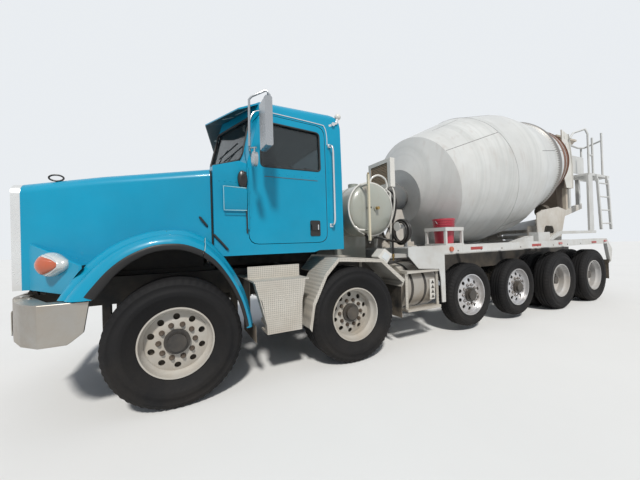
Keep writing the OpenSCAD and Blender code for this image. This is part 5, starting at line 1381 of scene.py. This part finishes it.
class TRUCK_OT_cab_trim(bpy.types.Operator):
    """Handles, grab rails, drip rails, rivets, the lamps of the cowl and of the roof's rear corners"""
    bl_idname = "truck.cab_trim"
    bl_label = "Cab trim"

    def execute(self, context):
        for word, side in SIDES.items():
            self.add_door_pieces(word, side)
            self.add_side_pieces(word, side)
            for name, node, place, count, width in (
                    ("door_rivets_", "door_" + word, (-1.145, side * 0.9995, 2.095), 8, 0.60),
                    ("cowl_rivets_", "cab_shell", (-0.475, side * 0.9995, 1.985), 4, 0.16)):
                grown(name + word, "Studs over a grid", NODE_BODY[node], [facing(at(*place), (0, side, 0))],
                      "Cab enamel", Across=count, Along=1, Width=width, Length=0.0, Sides=10,
                      Foot_radius=0.008, Head_radius=0.004, Height=0.004)
        # Dark box under the cab's floor: painted shade, so the space under the cab shows dark
        shape = Shape("cab_floor_cover", NODE_BODY["cab_shell"])
        shape.box((-1.700, -0.440, 1.120), (-0.460, 0.440, 1.290), "Wheel well")
        shape.done()
        return {"FINISHED"}

    def add_door_pieces(self, word, side):
        shape = Shape("door_handle_" + word, NODE_BODY["door_" + word], side)
        plate = soft([(-1.482, 1.430), (-1.358, 1.430), (-1.358, 1.605), (-1.482, 1.605)], 0.018)
        shape.prism(plate, "y", 0.999, 1.007, "Lamp black")
        shape.rod((-1.445, 1.030, 1.500), (-1.445, 1.030, 1.556), 0.007, "Bright trim", sides=12)
        for z in (1.515, 1.540):
            shape.rod((-1.445, 1.018, z), (-1.445, 1.030, z), 0.005, "Bright trim", sides=8)
        shape.tube([(-0.850, 1.0005, 2.062), (-1.465, 1.0005, 2.055)], 0.0035, "Seam", sides=8)
        shape.done()

    def add_side_pieces(self, word, side):
        body = NODE_BODY["cab_shell"]
        shape = Shape("grab_rail_" + word, body, side)
        rail = curve_points([(-1.625, 0.985, 2.470), (-1.629, 1.030, 2.468), (-1.640, 1.062, 2.430),
                             (-1.642, 1.066, 2.250), (-1.642, 1.066, 1.750), (-1.640, 1.062, 1.590),
                             (-1.629, 1.030, 1.552), (-1.625, 0.990, 1.550)], 5)
        shape.tube(rail, 0.012, "Bright trim")
        for z in (2.470, 1.550):
            shape.box((-1.645, 0.985, z - 0.02), (-1.605, 1.012, z + 0.02), "Bright trim")
        shape.done()
        shape = Shape("drip_rail_" + word, body, side)
        line = curve_points([(-0.700, 2.560), (-0.735, 2.680), (-0.800, 2.742), (-0.950, 2.745),
                             (-1.500, 2.712), (-1.575, 2.690), (-1.602, 2.600), (-1.604, 2.480)], 5)
        shape.tube([(x, cab_side_y(z) + 0.003, z) for x, z in line], 0.006, "Bright trim", sides=8)
        shape.done()
        shape = Shape("cowl_pieces_" + word, body, side)
        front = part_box("door_" + word)[1].x - AXLE_X
        shape.box((front + 0.001, 0.999, 1.470), (front + 0.014, 1.010, 2.090), "Lamp black")
        # Pale strips round the box on the cowl's side, a painted highlight of its edges
        edge = [(-0.650, 1.6965), (-0.4315, 1.6965), (-0.4315, 1.929), (-0.650, 1.919)]
        shape.tube([(x, 1.0395, z) for x, z in edge], 0.005, "Split edge", sides=8)
        self.add_oval_lamp(shape, front + 0.045)
        shape.done()
        shape = Shape("side_lamp_" + word, body, side)
        for low, high, radius in (((-1.640, 0.975, 2.715), (-1.745, 0.992, 2.760), 0.016),
                                  ((-1.690, 0.960, 2.735), (-1.690, 1.010, 2.735), 0.022),
                                  ((-1.740, 0.985, 2.755), (-1.764, 0.985, 2.835), 0.018)):
            shape.rod(low, high, radius, "Bright trim")
        cap = [(0.038 * math.sin(a), 0.038 * math.cos(a)) for a in (math.pi * k / 10 for k in range(11))]
        shape.lathe(cap, shape.at(-1.765, 0.985, 2.840), (0, 0, 1), "White enamel", steps=24, closed=False)
        shape.done()

    def add_oval_lamp(self, shape, x):
        """Black lamp on the cowl, taller than it is wide, with a domed back."""
        rings = []
        for lift, share in ((0.0, 0.70), (0.012, 0.94), (0.026, 1.0), (0.040, 0.94), (0.050, 0.74),
                            (0.055, 0.40)):
            centre = shape.at(x, 0.998 + lift, 2.010)
            rings.append([centre + Vector((0.050 * math.cos(a), 0.0, 0.088 * math.sin(a))) * share
                          for a in circle(28)])
        shape.sweep(rings, "Lamp black")


class TRUCK_OT_seats(bpy.types.Operator):
    """Stuffed cushions and backs on the seats' bases"""
    bl_idname = "truck.seats"
    bl_label = "Seats"

    def execute(self, context):
        body = NODE_BODY["seats"]
        base = Shape("seat_bases", body)
        for side in SIDES.values():
            base.box((-1.430, side * 0.43 - 0.16, 1.330), (-1.130, side * 0.43 + 0.16, 1.566), "Cab plastic")
        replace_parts(base.done(), "seats")
        for word, side in SIDES.items():
            for name, x, z, half, lean in (("seat_cushion_", -1.265, 1.622, (0.235, 0.240, 0.060), 0.0),
                                           ("seat_back_", -1.487, 1.990, (0.055, 0.230, 0.345), -8.5)):
                self.add_cushion(name + word, body, (x, side * 0.43, z), half, lean)
        return {"FINISHED"}

    def add_cushion(self, name, body, place, half, lean):
        """A crowned closed form whose sides pull in between its corners."""
        mesh = bmesh.new()
        bmesh.ops.create_cube(mesh, size=2.0)
        bmesh.ops.subdivide_edges(mesh, edges=mesh.edges, cuts=15, use_grid_fill=True)
        turn = Matrix.Rotation(math.radians(lean), 3, "Y")
        thin = half.index(min(half))
        for vert in mesh.verts:
            p = vert.co.copy()
            size = sum(abs(c) ** 5 for c in p) ** 0.2
            p = p / size
            rest = [c for i, c in enumerate(p) if i != thin]
            crown = (1 - rest[0] ** 2) * (1 - rest[1] ** 2)
            pull = [0.94 + 0.06 * p[(i + 1) % 3] ** 2 for i in range(3)]
            values = [p[i] * half[i] * (0.80 + 0.20 * crown if i == thin else pull[i]) for i in range(3)]
            groove = 0.004 * math.exp(-((abs(rest[1]) - 0.55) / 0.05) ** 2)
            values[thin] -= math.copysign(groove, p[thin]) if abs(p[thin]) > 0.5 else 0.0
            vert.co = at(*place) + turn @ Vector(values)
        for face in mesh.faces:
            face.smooth = True
        bmesh.ops.recalc_face_normals(mesh, faces=mesh.faces)
        piece = mesh_object(name, mesh, ["Seat cloth"])
        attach(piece, body)


# Steps, fenders and fuel tanks

SECOND_ARCH = ((0.583, 0.473), (0.535, 0.734), (0.377, 1.031), (0.221, 1.180), (-0.377, 1.140),
               (-0.719, 0.870))
SECOND_AXLE = -1.801
MARK_PITCH = 0.034


class TRUCK_OT_steps(bpy.types.Operator):
    """Raised tread marks, tank straps, the slotted guards and the hoses over the tanks"""
    bl_idname = "truck.steps"
    bl_label = "Steps"

    def execute(self, context):
        for word, side in SIDES.items():
            self.add_treads(word, side)
            self.add_tank_pieces(word, side)
        return {"FINISHED"}

    def marks(self, name, place, normal, up, width, length):
        grown(name, "Studs over a grid", "chassis", [facing(place, normal, up)], "Step aluminium",
              Across=max(2, round(width / MARK_PITCH)), Along=max(2, round(length / MARK_PITCH)),
              Width=width, Length=length, Sides=4, Foot_radius=0.010, Head_radius=0.005, Height=0.0025)

    def add_treads(self, word, side):
        out = Vector((0, side, 0))
        self.marks("riser_marks_" + word, at(-0.955, side * 1.2025, 0.765), out, (0, 0, 1), 0.30, 0.30)
        self.marks("tread_marks_" + word, at(-0.945, side * 1.060, 0.9995), (0, 0, 1), (0, 1, 0), 0.50, 0.22)
        arch = [Vector((SECOND_AXLE + x, 0, z)) for x, z in SECOND_ARCH]
        for k, (a, b) in enumerate(zip(arch, arch[1:])):
            run = b - a
            normal = Vector((run.z, 0, -run.x))
            if normal.dot((a + b) / 2 - Vector((SECOND_AXLE, 0, 0.54))) < 0:
                normal = -normal
            middle = (a + b) / 2
            place = at(middle.x, side * 1.005, middle.z) - normal.normalized() * 0.0005
            self.marks("fender_marks_%d_%s" % (k + 1, word), place, normal, run, 0.38, run.length - 0.05)

    def add_tank_pieces(self, word, side):
        shape = Shape("tank_straps_" + word, NODE_BODY["fuel_tanks"], side)
        for x in (-2.925, -2.700):
            shape.lathe([(0.2995, -0.020), (0.3030, -0.020), (0.3030, 0.020), (0.2995, 0.020)],
                        shape.at(x, 0.860, 0.740), (1, 0, 0), "Gasket", steps=64)
        plate = [(-3.085, 0.560), (-2.995, 0.560), (-2.995, 0.830), (-3.085, 0.830)]
        shape.prism(plate, "y", 1.1625, 1.1665, "White enamel")
        for k in range(4):
            z = 0.578 + 0.063 * k
            slot = [(-3.078, z), (-3.020, z), (-3.049, z + 0.048)]
            shape.prism(slot, "y", 1.1660, 1.1675, "Gasket")
        hose = [(-2.45, 1.00, 1.06), (-2.62, 1.03, 1.09), (-2.80, 1.02, 1.08), (-3.00, 0.95, 1.02)]
        shape.tube(hose, 0.017, "Hose rubber")
        shape.done()


# Deck

class TRUCK_OT_deck(bpy.types.Operator):
    """Reflective tapes, bolts, the white side lamps and the bucket's handle"""
    bl_idname = "truck.deck"
    bl_label = "Deck"

    def execute(self, context):
        for word, side in SIDES.items():
            shape = Shape("deck_tapes_" + word, NODE_BODY["body_frame"], side)
            for start, end, z in ((-3.770, -4.035, 1.206), (-5.330, -5.610, 1.202), (-7.460, -7.670, 1.196)):
                tape = [(end, z - 0.021), (start, z - 0.021), (start, z + 0.021), (end, z + 0.021)]
                shape.prism(tape, "y", 1.2195, 1.2210, "Red tape")
            lamp = soft([(-2.135, 1.165), (-2.235, 1.262), (-2.350, 1.185), (-2.262, 1.070)], 0.012)
            shape.prism(lamp, "y", 1.060, 1.196, "White enamel")
            lens = soft([(-2.185, 1.160), (-2.240, 1.222), (-2.310, 1.170), (-2.262, 1.110)], 0.010)
            shape.prism(lens, "y", 1.1955, 1.200, "Lamp glass")
            shape.done()
            out = Vector((0, side, 0))
            grown("deck_bolts_" + word, "Studs over a grid", NODE_BODY["body_frame"],
                  [facing(at(-5.75, side * 1.2195, 1.185), out)], "Nut steel", Across=10, Along=1, Width=4.5,
                  Length=0.0, Sides=6, Foot_radius=0.011, Head_radius=0.009, Height=0.006)
        shape = Shape("bucket_handle", NODE_BODY["bucket"])
        centre = Vector((-3.606, 0.905, 1.615))
        bail = [centre + Vector((0.166 * math.cos(a), 0.04 * math.sin(a), -0.09 * math.sin(a)))
                for a in (math.pi * k / 16 for k in range(17))]
        shape.tube(bail, 0.0035, "Bright trim", sides=8)
        for z in (1.560, 1.535):
            band = [(0.146, -0.005), (0.156, -0.004), (0.156, 0.004), (0.146, 0.005)]
            shape.lathe(band, at(-3.606, 0.905, z), (0, 0, 1), "Bucket plastic")
        shape.done()
        return {"FINISHED"}


# Water tank, cooler and drum drive

class TRUCK_OT_plumbing(bpy.types.Operator):
    """Pipes, valves and hoses of the tank, the cooler and the drum drive"""
    bl_idname = "truck.plumbing"
    bl_label = "Plumbing"

    def pipe(self, shape, points, radius, name):
        """A bent tube through control points."""
        shape.tube(curve_points(points, 6), radius, name)

    def execute(self, context):
        shape = Shape("tank_pipes", NODE_BODY["water_tank"])
        self.pipe(shape, [(-2.330, 0.800, 2.095), (-2.365, 0.820, 2.190), (-2.460, 0.840, 2.232),
                          (-2.570, 0.840, 2.190), (-2.610, 0.830, 2.100), (-2.600, 0.820, 2.050)], 0.013,
                  "White enamel")
        self.pipe(shape, [(-2.470, 0.780, 2.040), (-2.600, 0.790, 2.045), (-2.680, 0.795, 2.020),
                          (-2.692, 0.795, 1.940), (-2.688, 0.795, 1.600), (-2.680, 0.790, 1.250)], 0.014,
                  "White enamel")
        shape.rod((-2.585, 0.790, 2.045), (-2.635, 0.792, 2.043), 0.026, "White enamel")
        shape.rod((-2.560, 0.790, 2.045), (-2.560, 0.790, 2.085), 0.010, "White enamel")
        # White arc on the tank's head, a painted highlight of its rim
        arc = [(-2.275 + 0.352 * math.cos(a), 0.917, 1.765 + 0.352 * math.sin(a))
               for a in (math.radians(-36 + 100 * k / 16) for k in range(17))]
        shape.tube(arc, 0.010, "White enamel")
        outlet = [(-1.987, 0.935, 1.545), (-2.02, 0.985, 1.500), (-2.098, 1.005, 1.490)]
        shape.tube(outlet, 0.013, "White enamel")
        shape.rod((-2.100, 1.098, 2.160), (-2.100, 1.098, 2.180), 0.010, "Brass")
        shape.rod((-2.150, 1.000, 1.765), (-2.150, 1.070, 1.765), 0.012, "Lamp black")
        shape.rod((-2.275, 1.010, 1.765), (-2.275, 1.060, 1.765), 0.020, "Brass")
        for z in (1.340, 1.365):
            shape.tube([(-2.100, 1.098, z), (-2.13, 1.05, z - 0.02), (-2.16, 0.98, z + 0.04),
                        (-2.17, 0.90, z + 0.10)], 0.010, "Hose rubber")
        shape.done()
        shape = Shape("drive_hoses", NODE_BODY["drum_drive"])
        self.pipe(shape, [(-2.960, 0.120, 2.130), (-3.020, 0.260, 2.190), (-3.110, 0.360, 2.120),
                          (-3.160, 0.385, 1.950), (-3.140, 0.370, 1.780), (-3.100, 0.345, 1.600)], 0.020,
                  "Hose rubber")
        self.pipe(shape, [(-2.940, 0.140, 2.080), (-3.000, 0.290, 2.110), (-3.080, 0.370, 2.030),
                          (-3.110, 0.390, 1.900), (-3.080, 0.370, 1.740), (-3.050, 0.345, 1.560)], 0.020,
                  "Hose rubber")
        self.pipe(shape, [(-2.900, 0.120, 1.960), (-2.860, 0.300, 1.880), (-2.850, 0.360, 1.700),
                          (-2.920, 0.345, 1.450), (-3.000, 0.340, 1.350)], 0.018, "Hose rubber")
        for place in ((-3.05, 0.345, 1.560), (-3.10, 0.345, 1.600), (-3.02, 0.340, 1.350)):
            shape.rod((place[0], 0.328, place[2]), (place[0], 0.372, place[2]), 0.030, "Oily steel")
        self.pipe(shape, [(-2.935, 0.330, 2.210), (-2.990, 0.440, 2.215), (-3.040, 0.480, 2.090),
                          (-3.045, 0.470, 1.880), (-3.020, 0.440, 1.700), (-2.985, 0.380, 1.560)], 0.014,
                  "White enamel")
        shape.rod((-2.935, 0.330, 2.210), (-2.935, 0.240, 2.190), 0.022, "Oily steel")
        shape.box((-3.060, 0.120, 1.760), (-2.960, 0.300, 1.860), "Drive paint")
        shape.box((-3.010, 0.250, 1.900), (-2.930, 0.350, 2.060), "Oily steel")
        shape.done()
        return {"FINISHED"}


# Drum

class TRUCK_OT_drum_seams(bpy.types.Operator):
    """Lengthwise weld seams of the drum's plates, and the rust sleeve of its mouth"""
    bl_idname = "truck.drum_seams"
    bl_label = "Drum seams"

    SEAMS = ((0.970, 2.055, (56.4, 176.4, 296.4)), (2.075, 2.900, (20.0, 140.0, 260.0)),
             (2.915, 4.590, (80.0, 200.0, 320.0)), (1.300, 1.950, (20.0,)))

    def execute(self, context):
        shape = Shape("drum_seams", NODE_BODY["drum"])
        start, axis, up = drum_axes()
        side = Vector((0, 1, 0))
        for low, high, turns in self.SEAMS:
            for turn in turns:
                angle = math.radians(turn)
                out = up * math.cos(angle) + side * math.sin(angle)
                across = axis.cross(out)
                rings = []
                for k in range(7):
                    station = low + (high - low) * k / 6
                    place = start + axis * station + out * (drum_radius(station) - 0.001)
                    rings.append([place - across * 0.006, place + out * 0.003, place + across * 0.006])
                shape.sweep(rings, "Seam", smooth=False)
        near, far = drum_radius(RUST_FROM), drum_radius(DRUM_BAND)
        shape.lathe([(near - 0.003, RUST_FROM), (near + 0.003, RUST_FROM), (far + 0.003, DRUM_BAND),
                     (far - 0.003, DRUM_BAND)], start, axis, "Mouth rust", steps=96)
        shape.done()
        return {"FINISHED"}


# Panel and steps

class TRUCK_PT_panel(bpy.types.Panel):
    """Lists the truck's settings and steps"""
    bl_idname = "TRUCK_PT_panel"
    bl_label = "Mixer truck"
    bl_space_type = "VIEW_3D"
    bl_region_type = "UI"
    bl_category = "Mixer truck"

    def draw(self, context):
        layout = self.layout
        for name in TruckColours.__annotations__:
            layout.prop(context.scene.truck_colours, name)
        for step in STEPS:
            layout.operator(step.bl_idname)


STEPS = (TRUCK_OT_stage, TRUCK_OT_wash_hose, TRUCK_OT_solids, TRUCK_OT_wheels, TRUCK_OT_nose,
         TRUCK_OT_glazing, TRUCK_OT_cab_trim, TRUCK_OT_seats, TRUCK_OT_steps, TRUCK_OT_deck,
         TRUCK_OT_plumbing, TRUCK_OT_drum_seams)
CLASSES = (TruckColours, *STEPS, TRUCK_PT_panel)


def register():
    for item in CLASSES:
        bpy.utils.register_class(item)
    bpy.types.Scene.truck_colours = bpy.props.PointerProperty(type=TruckColours)


def unregister():
    del bpy.types.Scene.truck_colours
    for item in reversed(CLASSES):
        bpy.utils.unregister_class(item)


def write_sizes():
    """Gathers the frame's box and the dressed truck's box side by side; they are not written anywhere."""
    boxes = {"frame": FRAME_BOUNDS, "dressed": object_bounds()}
    plain = {name: [list(corner) for corner in box] for name, box in boxes.items()}


def main():
    register()
    for step in STEPS:
        group, name = step.bl_idname.split(".")
        getattr(getattr(bpy.ops, group), name)()
    write_sizes()


if __name__ == "__main__":
    main()
